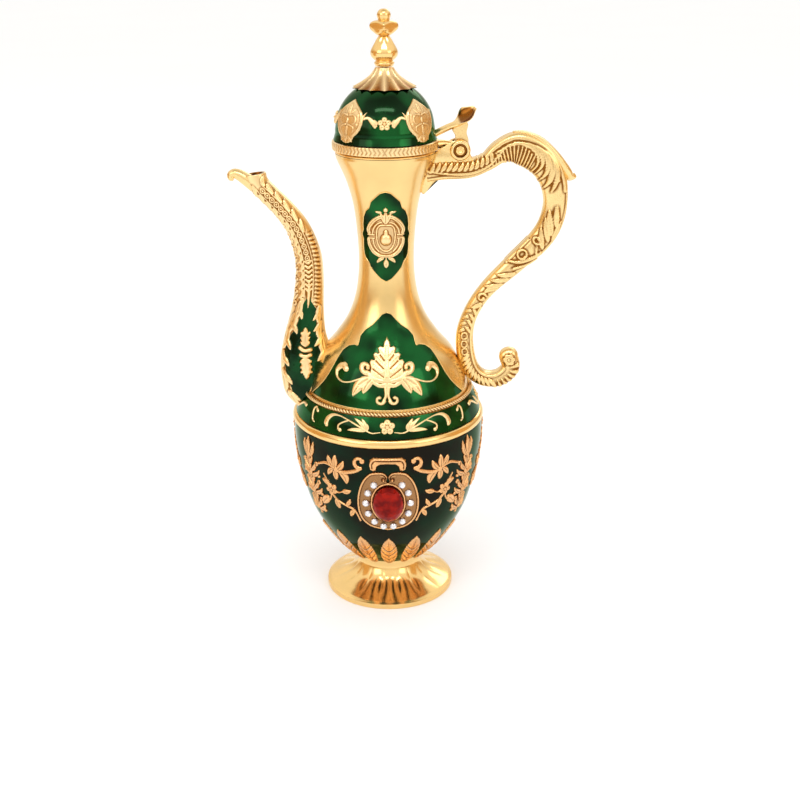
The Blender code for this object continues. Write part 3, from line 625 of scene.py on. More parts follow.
def clad_plain_nodes():
    """The CAD nodes that are shown as they are get their metals here."""
    for material, nodes in ((GOLD, ("base_plate", "lid_flange")),
                            (STEEL, ("foot_screw", "foot_washer", "finial_stud", "finial_nut"))):
        for node in nodes:
            slots = frame["nodes"][node].data.materials
            slots.clear()
            slots.append(material)


def bowl_arms(relief):
    """The scrolled arms with their leaf clusters and flower sprigs, drawn for the right half."""
    relief.curl(13.2, 77.2, 3.2, -95, 250, (1.15, 0.85), 1.0)
    relief.stroke([(13.0, 74.0), (16.3, 72.0), (22.8, 70.6), (27.0, 72.6), (31.7, 73.4), (36.5, 71.6)],
                  (1.15, 1.0, 0.8), 1.0)
    relief.leaves([((25.0, 71.4), (21.6, 76.4), 1.5, 0.1), ((26.0, 72.2), (26.2, 78.6), 1.4, 0),
                   ((26.8, 72.6), (30.2, 77.6), 1.4, -0.1), ((23.6, 70.8), (19.8, 64.6), 1.9, -0.15),
                   ((25.6, 71.0), (25.0, 65.8), 1.5, 0.1), ((27.0, 71.6), (30.0, 67.4), 1.4, 0.12)],
                  height=0.95)
    relief.ball(25.4, 71.5, 1.5, height=1.2)
    long_stem = [(28.6, 57.0), (25.0, 53.6), (20.5, 51.8), (16.0, 49.6), (13.4, 44.0)]
    for stem, widths in ((long_stem, (0.5, 0.55)), ([(28.6, 57.0), (29.6, 53.6), (31.0, 51.6)], (0.5,)),
                         ([(28.6, 59.5), (24.6, 58.6), (22.0, 59.9)], (0.5,)),
                         ([(29.4, 60.5), (30.4, 62.6), (33.4, 66.8)], (0.5, 0.3))):
        relief.stroke(stem, widths, 0.7)
    relief.flower(28.6, 59.3, 3.4, 60, height=0.9)
    relief.leaves([((22.4, 59.8), (18.0, 60.8), 1.3), ((30.2, 61.6), (34.2, 63.8), 1.4),
                   ((30.8, 53.6), (34.8, 48.6), 2.2), ((26.0, 54.4), (24.0, 49.2), 1.4),
                   ((20.4, 52.0), (18.6, 55.8), 1.1), ((16.4, 49.8), (18.2, 45.8), 1.2)], 0.08)


def bowl_column(relief):
    """An upright spray: a stem with pointed leaves, buds and small curls, drawn for its right half."""
    relief.stroke([(0, 41), (0, 55), (0, 66), (0, 76)], (0.5, 0.8, 0.5), 0.95)
    relief.leaf((0, 72), (0, 83.6), 1.5, 0.0, 1.3)
    relief.leaf((0.4, 73), (3.6, 81.6), 1.1, -0.1, 1.1)
    for base, reach in ((43.5, 4.8), (53.5, 6.0), (63.5, 6.2)):
        relief.leaf((0.3, base), (reach, base + 3.8), 1.25, -0.16, 1.0)
        relief.leaf((0.2, base + 2.2), (0.7 * reach, base + 7.4), 1.15, -0.12, 1.2)
        relief.leaf((0.2, base + 5.4), (0.35 * reach, base + 10.4), 0.8, 0, 1.3)
        relief.curl(reach - 1.5, base + 7.0, 1.0, -60, 280, (0.5, 0.35), 0.9)
        relief.ball(reach - 0.4, base + 0.4, 0.75, height=1.0)


BOW = [(0, 80.3), (6.6, 80.2), (8.4, 79.0), (9.0, 76.4), (8.4, 73.8), (6.6, 72.9), (5.2, 73.6), (4.7, 75.6),
       (3.4, 76.6), (0, 76.8)]


def bowl_bow(relief):
    """The bracket above the jewel, with a channel along it; drawn for its right half."""
    relief.plate(np.vstack([BOW, [(-1.0, 76.8), (-1.0, 80.3)]]), 1.2, slope=1.6)
    relief.groove([(-1, 78.6), (5.4, 78.5), (7.2, 77.0), (7.2, 74.8), (6.4, 74.4)], 0.45, 0.5)
    relief.ball(6.5, 74.6, 0.9, height=1.5)


ACANTHUS = [(0, 35.8), (1.5, 33.2), (1.8, 31.0), (3.1, 31.6), (4.4, 30.2), (4.0, 27.8), (5.4, 28.4),
            (6.7, 26.8), (5.9, 24.4), (7.4, 24.6), (8.4, 22.8), (7.6, 20.2), (8.2, 17.4), (6.8, 14.6),
            (3.4, 13.2), (0, 12.8)]


def palmette(relief):
    """The lobed leaf with curled arms that stands on the shoulder, drawn for its right half."""
    relief.plate(both_sides(ACANTHUS), 0.85, slope=1.3)
    relief.leaf((0, 14.0), (0, 34.6), 1.3, 0, 1.15, 0.2)
    for base, tip in (((0.8, 25.0), (3.4, 30.2)), ((1.0, 21.0), (5.6, 27.0)), ((1.2, 17.5), (7.2, 23.2))):
        relief.leaf(base, tip, 1.0, -0.08, 1.1, 0.25)
    for base, tip in (((1.3, 24.0), (3.0, 26.6)), ((1.6, 20.0), (5.0, 23.6)), ((1.6, 16.0), (6.4, 19.6))):
        relief.groove([base, tip], 0.35, 0.45)
    relief.stroke([(2.0, 14.2), (6.0, 15.2), (8.6, 17.4)], (1.2, 1.7, 1.5), 0.95)
    relief.curl(9.9, 20.2, 2.5, -100, 290, (1.5, 1.1), 1.15)
    relief.stroke([(6.5, 14.8), (9.0, 15.4), (13.0, 14.4), (18.2, 12.4), (22.4, 12.0), (25.3, 13.7),
                   (25.7, 16.4), (23.6, 18.8), (20.9, 19.6)], (1.0, 0.7, 0.5, 0.7, 1.2, 1.6), 0.85)
    relief.ball(20.5, 18.4, 1.8, height=1.1)
    relief.leaf((7.0, 15.6), (16.4, 6.0), 2.4, 0.12, 0.95)
    relief.leaf((9.0, 13.6), (15.0, 10.6), 1.4, -0.1, 0.9)
    relief.leaf((6.2, 15.4), (11.2, 7.8), 2.0, 0.1, 0.9)
    relief.stroke([(0.6, 12.6), (3.6, 12.2), (6.6, 14.2)], (1.5, 1.1, 1.4), 0.8)
    relief.stroke([(0.5, 12.0), (0.6, 7.4), (2.0, 4.4)], (1.2, 0.8, 0.8), 0.85)
    relief.curl(3.3, 5.7, 2.2, 200, 240, (0.95, 0.8), 1.05)


def build_bowl():
    """The bowl's enamelled wall, and the scrolls, palmettes, sprays and calyx leaves that lie on it."""
    outer, inner = thickened(BOWL_OUTLINE, WALL, 12)
    floor = BOWL_BASE + WALL
    inside = inner[inner[:, 1] > floor + 0.4][::-1]
    bottom = [(SCREW_BORE, BOWL_BASE), (SCREW_BORE, floor), (13.0, floor + 0.4)]
    turned("bowl_shell", np.vstack([outer, bottom, inside]), DARK_ENAMEL, "lower_bowl", steps=192)

    step = 0.24
    scrolls = relief_on(BOWL, 37.5, 40.0, 82.5, step)
    bowl_arms(scrolls.half())
    bowl_bow(scrolls.half())
    sheets_on("bowl_scrolls", scrolls, COPPER_GOLD, FACES)
    lobed = relief_on(BOWL, 15.0, 45.0, 82.0, step)
    palmette(lobed.half(45.5, 0.9))
    lobed.flower(0, 80.0, 2.4)
    sheets_on("bowl_palmette", lobed, COPPER_GOLD, FLANKS)
    column = relief_on(BOWL, 6.5, 38.0, 83.5, step)
    bowl_column(column.half())
    sheets_on("bowl_column", column, COPPER_GOLD, four_corners(COLUMN_ANGLE))

    calyx = relief_on(BOWL, 6.5, 2.5, 33.0, 0.3, waist=22.0)
    half = calyx.half()
    half.leaf((0, 2.0), (0, 31.5), 4.6, 0, 0.9, 0.3)
    for base in (8, 13, 18, 23):
        half.groove([(0.3, base - 3), (4.6, base + 3)], 0.35, 0.35)
    leaves = 16
    turns = {f"{number + 1:02d}": TAU * number / leaves for number in range(leaves)}
    sheets_on("bowl_calyx", calyx, COPPER_GOLD, turns)


def build_girdle():
    """The plain band between the bowl and the frieze."""
    edge = 46.2
    inside = edge - (GIRDLE_TOP - GIRDLE_BOTTOM)
    bead = [(45.4, GIRDLE_TOP), (45.9, GIRDLE_TOP - 0.3), (46.5, GIRDLE_TOP - 1.2),
            (46.7, GIRDLE_BOTTOM + 1.6), (46.65, GIRDLE_BOTTOM + 0.7), (edge, GIRDLE_BOTTOM)]
    turned("girdle", np.vstack([smoothed(bead, 5), [(inside, GIRDLE_BOTTOM), (inside, GIRDLE_TOP)]]), GOLD,
           "girdle_band", steps=192)


def frieze_scrolls(relief):
    """Flower, stems, acanthus and C-scrolls of the frieze, drawn for the right half."""
    relief.flower(0, 5.9, 3.7, 90)
    relief.stroke([(3.4, 3.4), (7.3, 3.0), (10.6, 4.4), (14.6, 6.2), (19.0, 8.0), (23.2, 9.1), (27.0, 8.8),
                   (30.0, 6.6), (31.2, 4.2)], (0.35, 0.5, 0.6, 0.45, 0.5, 1.0, 1.3), 0.6)
    relief.ball(30.9, 3.7, 1.1, height=0.7)
    relief.stroke([(18.6, 7.6), (21.4, 6.4), (23.8, 4.8), (24.0, 3.0)], (0.4, 0.5), 0.55)
    relief.ball(23.1, 2.7, 1.0, height=0.7)
    relief.leaves([((10.2, 4.0), (15.6, 9.2), 0.9), ((10.0, 4.2), (12.0, 9.4), 0.9)], 0.1, 0.65)
    relief.leaves([((10.0, 3.6), (19.2, 3.2), 0.9, 0.06), ((9.4, 4.2), (9.6, 7.2), 0.7, 0.1)], height=0.6)
    relief.stroke([(37.8, 8.4), (38.2, 9.6), (40.0, 8.6), (40.8, 6.2), (40.9, 3.6), (39.6, 2.6)],
                  (0.45, 0.5, 0.6, 0.4), 0.55)
    relief.ball(37.4, 8.3, 0.95, height=0.7)


def frieze_sprig(relief):
    """The small flower and stem on the frieze's flanks, drawn for the right half."""
    relief.flower(0, 5.6, 3.4, 90)
    relief.stroke([(3.4, 3.4), (7.3, 3.2), (11.0, 5.2), (15.0, 7.8), (18.2, 7.4)], (0.35, 0.6, 0.9), 0.6)
    relief.leaf((7.5, 3.6), (10.0, 8.6), 0.9, 0.1, 0.65)


def build_body():
    """Neck, shoulder and frieze in one wall, with the frieze's enamel and relief on it."""
    shoulder, inner = thickened([(LIP_RADIUS, LIP_HEIGHT)] + SHOULDER_OUTLINE, WALL, 14)
    inner[0, 1] = LIP_HEIGHT
    ledge = [(39.1, LEDGE_HEIGHT)]
    inside = [(44.8 - WALL, FRIEZE_BOTTOM), (41.2 - WALL, 103.4)]
    profile = np.vstack([shoulder, ledge, smoothed(FRIEZE_OUTLINE), inside, inner[::-1]])
    turned("body_shell", profile, BODY_GOLD, "upper_body", steps=224)
    enamel, back = thickened(FRIEZE_OUTLINE, -PANEL_LIFT, 10)
    turned("frieze_enamel", np.vstack([back, enamel[::-1] - (0.2, 0.0)]), GREEN_ENAMEL, steps=224)
    for name, draw, half_girth, turns in (("frieze_scrolls", frieze_scrolls, 43.0, FACES),
                                          ("frieze_sprig", frieze_sprig, 20.0, FLANKS)):
        relief = relief_on(FRIEZE, half_girth, 0.3, FRIEZE.length - 0.2, 0.2)
        draw(relief.half())
        sheets_on(name, relief, RELIEF_GOLD, turns)


# ---------------------------------------------------------------- shoulder and neck panels

PANEL_LIFT = 0.14
PANEL_BEVEL = 0.42     # slope of a panel's edge
WIRE_RADIUS = 0.26
WIRE_LIFT = 0.12
CARTOUCHE_HEIGHT = 0.4
SHOULDER_PANEL = [(0, 47.2), (2.2, 46.4), (4.4, 43.8), (6.9, 41.1), (10.6, 38.4), (13.2, 35.2), (14.0, 31.6),
                  (14.4, 30.2), (16.0, 30.6), (19.8, 29.4), (23.2, 26.8), (26.0, 22.6), (28.6, 18.2),
                  (31.4, 13.8), (35.0, 9.4), (40.0, 5.0), (45.8, 1.0), (0, 0.6)]
NECK_PANEL = [(0, 104.6), (2.3, 104.0), (4.4, 102.0), (6.9, 99.4), (7.9, 96.2), (9.6, 94.8), (11.1, 91.6),
              (11.6, 88.0), (11.5, 85.4), (12.5, 83.2), (11.6, 80.8), (11.8, 77.2), (11.3, 73.8),
              (10.3, 71.9), (8.6, 70.2), (7.6, 68.0), (5.4, 65.6), (2.6, 62.8), (0, 61.4)]
CARTOUCHE = [(0, 93.8), (3.0, 93.4), (5.4, 91.8), (7.6, 89.4), (9.0, 86.6), (9.2, 84.6), (8.1, 83.2),
             (8.9, 81.4), (8.4, 78.8), (6.9, 75.8), (4.6, 73.7), (2.0, 72.7), (0, 72.6)]
SHIELD_FRAME = [(0, 88.4), (2.6, 88.2), (3.9, 86.6), (4.2, 83.4), (3.7, 79.8), (2.2, 77.0), (0, 76.0)]


def panels_on(prefix, half_outline, step):
    """Enamel panels with a bevelled edge, on the front and the back, and the wires that border them."""
    corners = both_sides(half_outline)
    reach = corners.max(axis=0) + 1.0
    relief = relief_on(SHOULDER, reach[0], max(corners[:, 1].min() - 0.6, 0.2), reach[1], step)
    relief.plate(corners, PANEL_LIFT, slope=PANEL_BEVEL)
    sheets_on(prefix, relief, GREEN_ENAMEL, FACES)
    border = resampled(np.vstack([corners, corners[:1]]), 0.5)[0][:-1]
    for label, turn in FACES.items():
        name = f"{prefix}_{label}_wire"
        rings = tube(SHOULDER.point(border[:, 0], border[:, 1], WIRE_LIFT, turn), WIRE_RADIUS)
        finish_piece(name, mesh_from(name, rings, grid_corners(*rings.shape[:2])), GOLD)


def neck_cartouche(relief):
    """Wings and C-scrolls round an oval frame with a pear-shaped boss."""
    relief.plate(both_sides(CARTOUCHE), CARTOUCHE_HEIGHT)
    half = relief.half()
    half.stroke([(0.6, 92.6), (3.6, 91.8), (6.4, 89.4), (8.1, 86.4), (7.7, 84.6)], (1.0, 1.25, 1.0), 1.15,
                0.3)
    half.stroke([(1.6, 90.0), (4.0, 88.8), (5.6, 86.6), (6.1, 84.4)], (0.4, 0.7, 0.6), 1.0)
    half.stroke([(8.1, 81.4), (7.5, 78.6), (5.6, 75.6), (2.8, 73.9), (0, 73.6)], (0.95, 1.1, 0.9), 1.15, 0.3)
    half.stroke([(5.9, 81.6), (5.2, 78.4), (3.2, 75.8)], (0.6, 0.5), 1.0)
    half.stroke([(5.4, 83.7), (8.3, 83.7)], (0.6,), 1.3)
    half.stroke([(5.4, 82.0), (8.4, 82.0)], (0.5,), 1.3)
    relief.stroke(np.vstack([both_sides(SHIELD_FRAME), SHIELD_FRAME[:1]]), (0.55,), 1.35, per_span=3)
    relief.ball(0, 81.6, 2.6, 2.8, 2.0)
    relief.ball(0, 84.6, 1.1, 1.7, 1.3)
    relief.leaf((0, 89.0), (0, 95.0), 1.5, 0, 1.4, 0.3)
    half.leaf((0.6, 89.6), (2.6, 94.0), 1.1, 0.1, 1.25, 0.3)
    relief.ball(0, 95.7, 1.15, height=1.3)
    half.leaf((1.6, 94.3), (4.9, 94.9), 0.6, 0, 0.8)
    relief.stroke([(0, 73.0), (0, 70.4)], (0.45,), 0.8)
    relief.leaf((0, 71.6), (0, 68.0), 1.2, 0, 0.9)
    half.leaf((0.9, 72.8), (4.2, 70.2), 0.95, 0.12, 0.95)
    half.ball(3.4, 74.2, 0.9, height=1.2)


def build_panels():
    """The green panels of the shoulder and the neck, with the palmette and the medallion on them."""
    panels_on("shoulder_panel", SHOULDER_PANEL, 0.32)
    panels_on("neck_panel", NECK_PANEL, 0.26)
    lobed = relief_on(SHOULDER, 28.5, 2.5, 37.5, 0.2)
    palmette(lobed.half())
    sheets_on("shoulder_palmette", lobed, RELIEF_GOLD, FACES)
    medallion = relief_on(SHOULDER, 10.5, 66.5, 98.0, 0.16)
    neck_cartouche(medallion)
    # the flat ground round the cartouche's relief gets extra painted shade
    ground = medallion.height < CARTOUCHE_HEIGHT + 0.1
    sheets_on("neck_cartouche", medallion, RELIEF_GOLD, FACES, painted_shade=0.25 * ground)


def build_rope_ring():
    """A two-strand twisted wire."""
    twists, steps, sides = 75, 1800, 18
    turns = (np.arange(steps) * TAU / steps)[:, None]
    round_wire = np.arange(sides) * TAU / sides
    lobes = 0.45 + 0.55 * np.abs(np.cos(round_wire + turns * twists)) ** 0.9
    r = ROPE_RADIUS + ROPE_WIRE * lobes * np.cos(round_wire)
    z = ROPE_HEIGHT + ROPE_WIRE * lobes * np.sin(round_wire)
    points = np.stack([r * np.sin(turns), -r * np.cos(turns), z], -1)
    # painted shade in the grooves between the strands
    crease = np.clip((0.9 - lobes) / 0.45, 0, 1)
    mesh = mesh_from("rope_wire", points, grid_corners(steps, sides), crease=crease)
    finish_piece("rope_wire", mesh, RELIEF_GOLD, "rope_ring")


def build_mouth():
    """The bead at the top of the neck."""
    bottom = LIP_HEIGHT + 0.1
    bore = 20.3
    bead = [(MOUTH_RADIUS - 0.4, MOUTH_TOP), (MOUTH_RADIUS, MOUTH_TOP - 0.25),
            (MOUTH_RADIUS + 0.05, MOUTH_TOP - 0.5), (MOUTH_RADIUS - 0.1, bottom + 0.1),
            (MOUTH_RADIUS - 0.3, bottom)]
    turned("mouth_ring", np.vstack([smoothed(bead, 4), [(bore, bottom), (bore, MOUTH_TOP)]]), GOLD,
           "mouth_collar")


# ---------------------------------------------------------------- jewels

GEM_S = BOWL.s_at(GEM_HEIGHT)
PLATE_HEIGHT = 0.8
FRAME_HEIGHT = 1.9
BEZEL_HALF = 0.8
BEZEL_HEIGHT = 2.0
BRILLIANTS = 12
BRILLIANT_RADIUS = 1.75

# Rings of the cuts as (scale, lift, corners, offset in corners).
GEM_CUT = [(0.92, 0.6, 24, 0), (1.0, 1.7, 24, 0), (0.99, 2.2, 24, 0.5), (0.84, 3.2, 12, 0),
           (0.60, 4.0, 12, 0.5), (0.42, 4.3, 8, 0)]
BRILLIANT_CUT = [(0.9, 0.1, 10, 0), (1.0, 0.6, 10, 0), (0.78, 1.3, 10, 0.5), (0.5, 1.7, 10, 0)]


def gem_frame(relief):
    """The horseshoe plate: a rim that curls in over the jewel, and the jewel's bezel."""
    outline = [(0.9, 69.0), (1.2, 71.0), (3.4, 72.2), (6.2, 72.4), (9.2, 71.0), (11.8, 67.4), (13.7, 62.2),
               (14.6, 56.0), (14.0, 49.6), (11.8, 44.6), (7.6, 41.0), (0, 39.2)]
    relief.plate(both_sides([(0, 66.6)] + outline), PLATE_HEIGHT)
    half = relief.half()
    half.stroke([(1.0, 68.6), (0.6, 70.4), (2.2, 72.0), (5.2, 72.2), (8.6, 71.2), (11.4, 67.6), (13.3, 62.2),
                 (14.1, 56.0), (13.5, 49.8), (11.4, 45.0), (7.3, 41.6), (0, 39.9)], (0.55, 0.75, 0.8),
                FRAME_HEIGHT)
    half.curl(2.6, 69.4, 1.7, 100, -250, (0.6, 0.5), FRAME_HEIGHT)
    relief.ring(0, GEM_S, GEM_SIZE.x + 0.6, GEM_SIZE.z + 0.8, BEZEL_HALF, BEZEL_HEIGHT)


def facing(height, turn):
    """A matrix that stands on the bowl at a height and angle, with its Z pointing straight out."""
    s = BOWL.s_at(height)
    centre = Vector(BOWL.point(0.0, s, 0.0, turn))
    out = (Vector(BOWL.point(0.0, s, 1.0, turn)) - centre).normalized()
    right = Vector((math.cos(turn), math.sin(turn), 0.0))
    axes = Matrix((right, out.cross(right), out)).transposed().to_4x4()
    return Matrix.Translation(centre) @ axes


def cut_stone(name, rings, half_width, half_height):
    """The convex stone through rings of (scale, lift, corners, offset) of an oval, in millimetres."""
    solid = bmesh.new()
    for scale, lift, corners, offset in rings:
        for i in range(corners):
            way = TAU * (i + offset) / corners
            corner = Vector((half_width * scale * math.cos(way), half_height * scale * math.sin(way), lift))
            solid.verts.new(corner * MM)
    hull = bmesh.ops.convex_hull(solid, input=solid.verts)
    loose = [g for g in hull["geom_interior"] + hull["geom_unused"] if isinstance(g, bmesh.types.BMVert)]
    bmesh.ops.delete(solid, geom=loose, context="VERTS")
    bmesh.ops.dissolve_limit(solid, angle_limit=math.radians(1), verts=solid.verts, edges=solid.edges)
    mesh = bpy.data.meshes.new(name)
    solid.to_mesh(mesh)
    solid.free()
    mesh.shade_flat()
    return mesh


def place_gem(name, cut, material, seat, node):
    """A faceted stone seated at a matrix whose place is in millimetres."""
    mesh = cut.copy()
    mesh.materials.append(material)
    gem = add_object(name, mesh)
    seat.translation *= MM
    gem.matrix_world = seat
    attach(gem, "pot")
    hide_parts(node)


def build_jewels():
    """The jewels of the front and the back: plate, red stone and brilliants."""
    gem = cut_stone("gem_cut", GEM_CUT, GEM_SIZE.x, GEM_SIZE.z)
    brilliant = cut_stone("brilliant_cut", BRILLIANT_CUT, BRILLIANT_RADIUS, BRILLIANT_RADIUS)
    relief = relief_on(BOWL, 15.5, 38.2, 73.6, 0.2)
    gem_frame(relief)
    # the flat plate round the rim and bezel gets extra painted shade
    ground = relief.height < PLATE_HEIGHT + 0.05
    sheets_on("gem_frame", relief, COPPER_GOLD, FACES, painted_shade=0.4 * ground, node="gem_setting")
    for label, turn in FACES.items():
        place_gem("gem_stone_" + label, gem, RUBY, facing(GEM_HEIGHT, turn), "gem_" + label)
        for number in range(1, BRILLIANTS + 1):
            node = f"stone_{label}_{number:02d}"
            middle = (low(node) + high(node)) / 2
            seat = facing(middle.z, math.atan2(middle.x, -middle.y))
            seat.translation += seat.to_3x3() @ Vector((0, 0, PLATE_HEIGHT))
            place_gem(f"brilliant_{label}_{number:02d}", brilliant, CRYSTAL, seat, node)


# ---------------------------------------------------------------- swept castings

class Casting:
    """An oval bar swept along a line in the XZ plane, with its chart of t and v on both faces."""

    def __init__(self, sections, step, sides, start=0.0, end_cap=0.0, squareness=1.0):
        rows, t = resampled(smoothed(sections, 12), step)
        rows, t = rows[t >= start], t[t >= start]
        if end_cap:
            beyond = np.arange(step, end_cap, step)
            along = (rows[-1, :2] - rows[-2, :2]) / step
            round_off = np.sqrt(1 - (beyond / end_cap) ** 2)[:, None]
            cap = np.hstack([rows[-1, :2] + beyond[:, None] * along, rows[-1, 2:4] * round_off])
            rows, t = np.vstack([rows, cap]), np.r_[t, t[-1] + beyond]
        self.rows, self.line = rows, t
        turns = np.arange(sides) * TAU / sides
        c, s = np.cos(turns), np.sin(turns)
        self.u = np.sign(c) * np.abs(c) ** squareness * rows[:, 2:3]
        self.w = np.sign(s) * np.abs(s) ** squareness * rows[:, 3:4]
        if sections[0][4:]:
            tilt = np.radians(rows[:, 4])
            self.across = np.stack([np.cos(tilt), np.zeros(len(rows)), np.sin(tilt)], -1)
        else:
            along = np.gradient(rows[:, :2], t, axis=0)
            along /= np.linalg.norm(along, axis=1)[:, None]
            self.across = np.stack([along[:, 1], np.zeros(len(rows)), -along[:, 0]], -1)
        self.t = np.repeat(t[:, None], sides, 1)
        self.v = -self.u
        self.face = np.clip(np.abs(s) / 0.45, 0, 1)[None, :] ** 0.8
        self.middle = np.stack([rows[:, 0], np.zeros(len(rows)), rows[:, 1]], -1)

    def half_width(self, t):
        return np.interp(t, self.line, self.rows[:, 2])

    def points(self, lift=0.0):
        """The surface, with its points moved out along its normals by lift."""
        y = np.array([0.0, 1.0, 0.0])
        base = self.middle[:, None] + self.across[:, None] * self.u[..., None] + y * self.w[..., None]
        around = np.roll(base, -1, axis=1) - np.roll(base, 1, axis=1)
        normal = np.cross(around, np.gradient(base, axis=0))
        normal /= np.maximum(np.linalg.norm(normal, axis=2), 1e-9)[..., None]
        outward = np.sum(normal * (base - self.middle[:, None]), axis=2, keepdims=True)
        normal *= np.sign(outward + 1e-12)
        return base + normal * np.asarray(lift)[..., None]


def closed_tube(name, rings, **attributes):
    """A mesh through rings, closed by a small fan of quads at each end."""
    rows, columns = rings.shape[:2]
    ends = []
    for row in (0, rows - 1):
        first = row * columns
        pairs = [(first + i, first + i + 1, first + columns - i - 2, first + columns - i - 1)
                 for i in range(columns // 2 - 1)]
        ends += pairs if row else [pair[::-1] for pair in pairs]
    sides = grid_corners(rows, columns, wrap_rows=False)
    return mesh_from(name, rings, np.vstack([sides, ends]), **attributes)


def swept(line, across, rise):
    """Rings about a line of (x, z, ...) from each point's distance across it, on Y, and its rise over it."""
    along = np.gradient(line[:, :2], axis=0)
    along /= np.linalg.norm(along, axis=1)[:, None]
    return np.stack([line[:, 0:1] - along[:, 1:2] * rise, across, line[:, 1:2] + along[:, 0:1] * rise], -1)


def cast_piece(name, rings, body="pot", crease=0.0, sharp=None):
    """A small gilt casting through rings, which are turned round so that its faces point out."""
    crease = np.broadcast_to(crease, rings.shape[:2])
    mesh = closed_tube(name, rings[:, ::-1], crease=crease[:, ::-1])
    finish_piece(name, mesh, CAST_GOLD, body=body, sharp=sharp)


def handle_arch(relief, handle):
    """Rim, shell fan and long acanthus lobes of the arch."""
    line = np.linspace(33, 76, 10)
    edge = handle.half_width(line)
    relief.stroke(np.column_stack([line, edge - 1.5]), (0.9, 1.5, 1.5, 1.1), 0.75)
    relief.stroke(np.column_stack([line[1:-1], edge[1:-1] - 4.0]), (0.4, 0.6, 0.7), 0.6)
    relief.stroke([(37.0, -1.8), (40.5, 1.0), (46.0, 2.4), (52.0, 2.4), (57.0, 0.6), (59.6, -3.0),
                   (60.0, -6.8)], (0.5, 0.8, 0.8), 0.8)
    for rib in range(11):
        lean = (rib - 5) / 5
        foot_t = 47.5 + 9.6 * lean
        relief.stroke([(foot_t, -7.4), (47.5 + 8.4 * lean, 1.4 - 1.6 * lean * lean)], (0.66, 0.5), 0.62)
    for start, middle, bend, tip, half in (((46, 3.0), (55, 3.0), (61, -0.6), (62.8, -6.4), 1.1),
                                           ((50, 3.6), (59, 3.2), (65, -0.6), (67.8, -6.4), 1.4),
                                           ((54, 4.0), (63, 3.2), (69, -0.8), (73.2, -5.6), 1.7),
                                           ((58, 4.6), (66, 3.8), (71, 1.2), (75.6, -2.2), 1.4)):
        relief.stroke([start, middle, bend, tip], (0.4, half, 0.9 * half, 0.5), 0.85, 0.25)


def handle_middle(relief, handle):
    """Overlapping leaves, a curl, a tie and a second spray down the back of the handle."""
    line = np.linspace(76, 106, 8)
    relief.stroke(np.column_stack([line, handle.half_width(line) - 0.9]), (0.4, 0.7), 0.5)
    relief.leaves([((92, 3.0), (82.0, 0.6), 1.5), ((96, 2.6), (84.6, -2.8), 1.6),
                   ((99, 3.2), (89.0, -3.6), 1.5), ((103, 3.6), (94.6, -3.8), 1.3),
                   ((98, 4.2), (88.4, 4.0), 1.0)], 0.07, 0.7)
    relief.curl(101.2, -1.8, 2.2, 90, -300, (0.7, 0.6), 0.85)
    relief.stroke([(103.6, 0.4), (105.6, 2.2), (107.0, 4.0)], (0.5, 0.7), 0.6)
    line = np.linspace(104, 119, 6)
    relief.stroke(np.column_stack([line, 0.9 - handle.half_width(line)]), (0.6,), 0.55)
    relief.ring(111.0, -1.6, 2.2, 2.0, 0.65, 0.8)
    relief.stroke([(104.6, 4.0), (109.6, 2.6), (114.4, 0.2), (117.6, -3.4)], (0.9, 1.0, 0.7), 0.85)
    relief.stroke([(107.6, 4.8), (113.0, 3.4), (119.0, 0.6)], (0.6, 0.6), 0.7)
    for base in (119.0, 122.8, 126.6):
        relief.leaf((base, 3.0), (base + 7.4, -2.8), 1.1, 0.08, 0.65)
    relief.leaf((130.0, 3.2), (136.6, -0.8), 1.3, -0.1, 0.65)
    relief.curl(138.8, 0.0, 2.2, 150, 300, (0.75, 0.6), 0.75)
    relief.leaf((141.0, 1.6), (145.6, -1.8), 1.0, 0.1, 0.6)


def handle_foot(relief, handle):
    """Small leaves, links, a feather and the ribbed curl at the handle's foot."""
    for base in (145.4, 148.6, 151.8, 155.0):
        relief.leaf((base, -0.8), (base + 3.2, 2.2), 0.75, 0.14, 0.5)
        relief.leaf((base + 1.4, -0.6), (base + 3.4, -3.0), 0.65, -0.14, 0.5)
    for base in (159.6, 163.6, 167.4):
        relief.ring(base, -0.4, 1.6, 1.4, 0.4, 0.5)
    line = np.linspace(143, 200, 12)
    relief.stroke(np.column_stack([line, handle.half_width(line) - 1.2]), (0.7, 0.9, 0.7), 0.5)
    for base in np.arange(169.0, 189.0, 2.1):
        relief.leaf((base, 1.4), (base + 3.0, -3.0), 0.85, 0.06, 0.5)
    for rib in range(7):
        base = 190.5 + 2.0 * rib
        relief.stroke([(base, 0.2), (base + 0.6, -3.4)], (0.4, 0.75), 0.5)
    relief.flower(206.4, 0.2, 3.1, 20, 6, 0.8)


def handle_bracket(relief, handle):
    """Laurel and cord on the bracket between the neck and the arch."""
    line = np.linspace(3, 40, 9)
    relief.stroke(np.column_stack([line, 1.1 - handle.half_width(line)]), (0.8, 1.1, 0.7), 0.7)
    relief.stroke([(4, 0.6), (12, -1.6), (24, -2.0), (34, -1.2), (41, 0.6)], (0.5, 0.7, 0.5), 0.7)
    for base in np.arange(5.0, 34.0, 2.6):
        relief.leaf((base, -0.6), (base + 2.8, 3.8), 0.9, -0.1, 0.7, 0.2)
    for base in np.arange(26.0, 38.0, 1.7):
        relief.stroke([(base, -3.0), (base + 1.4, -1.2)], (0.4,), 0.5)


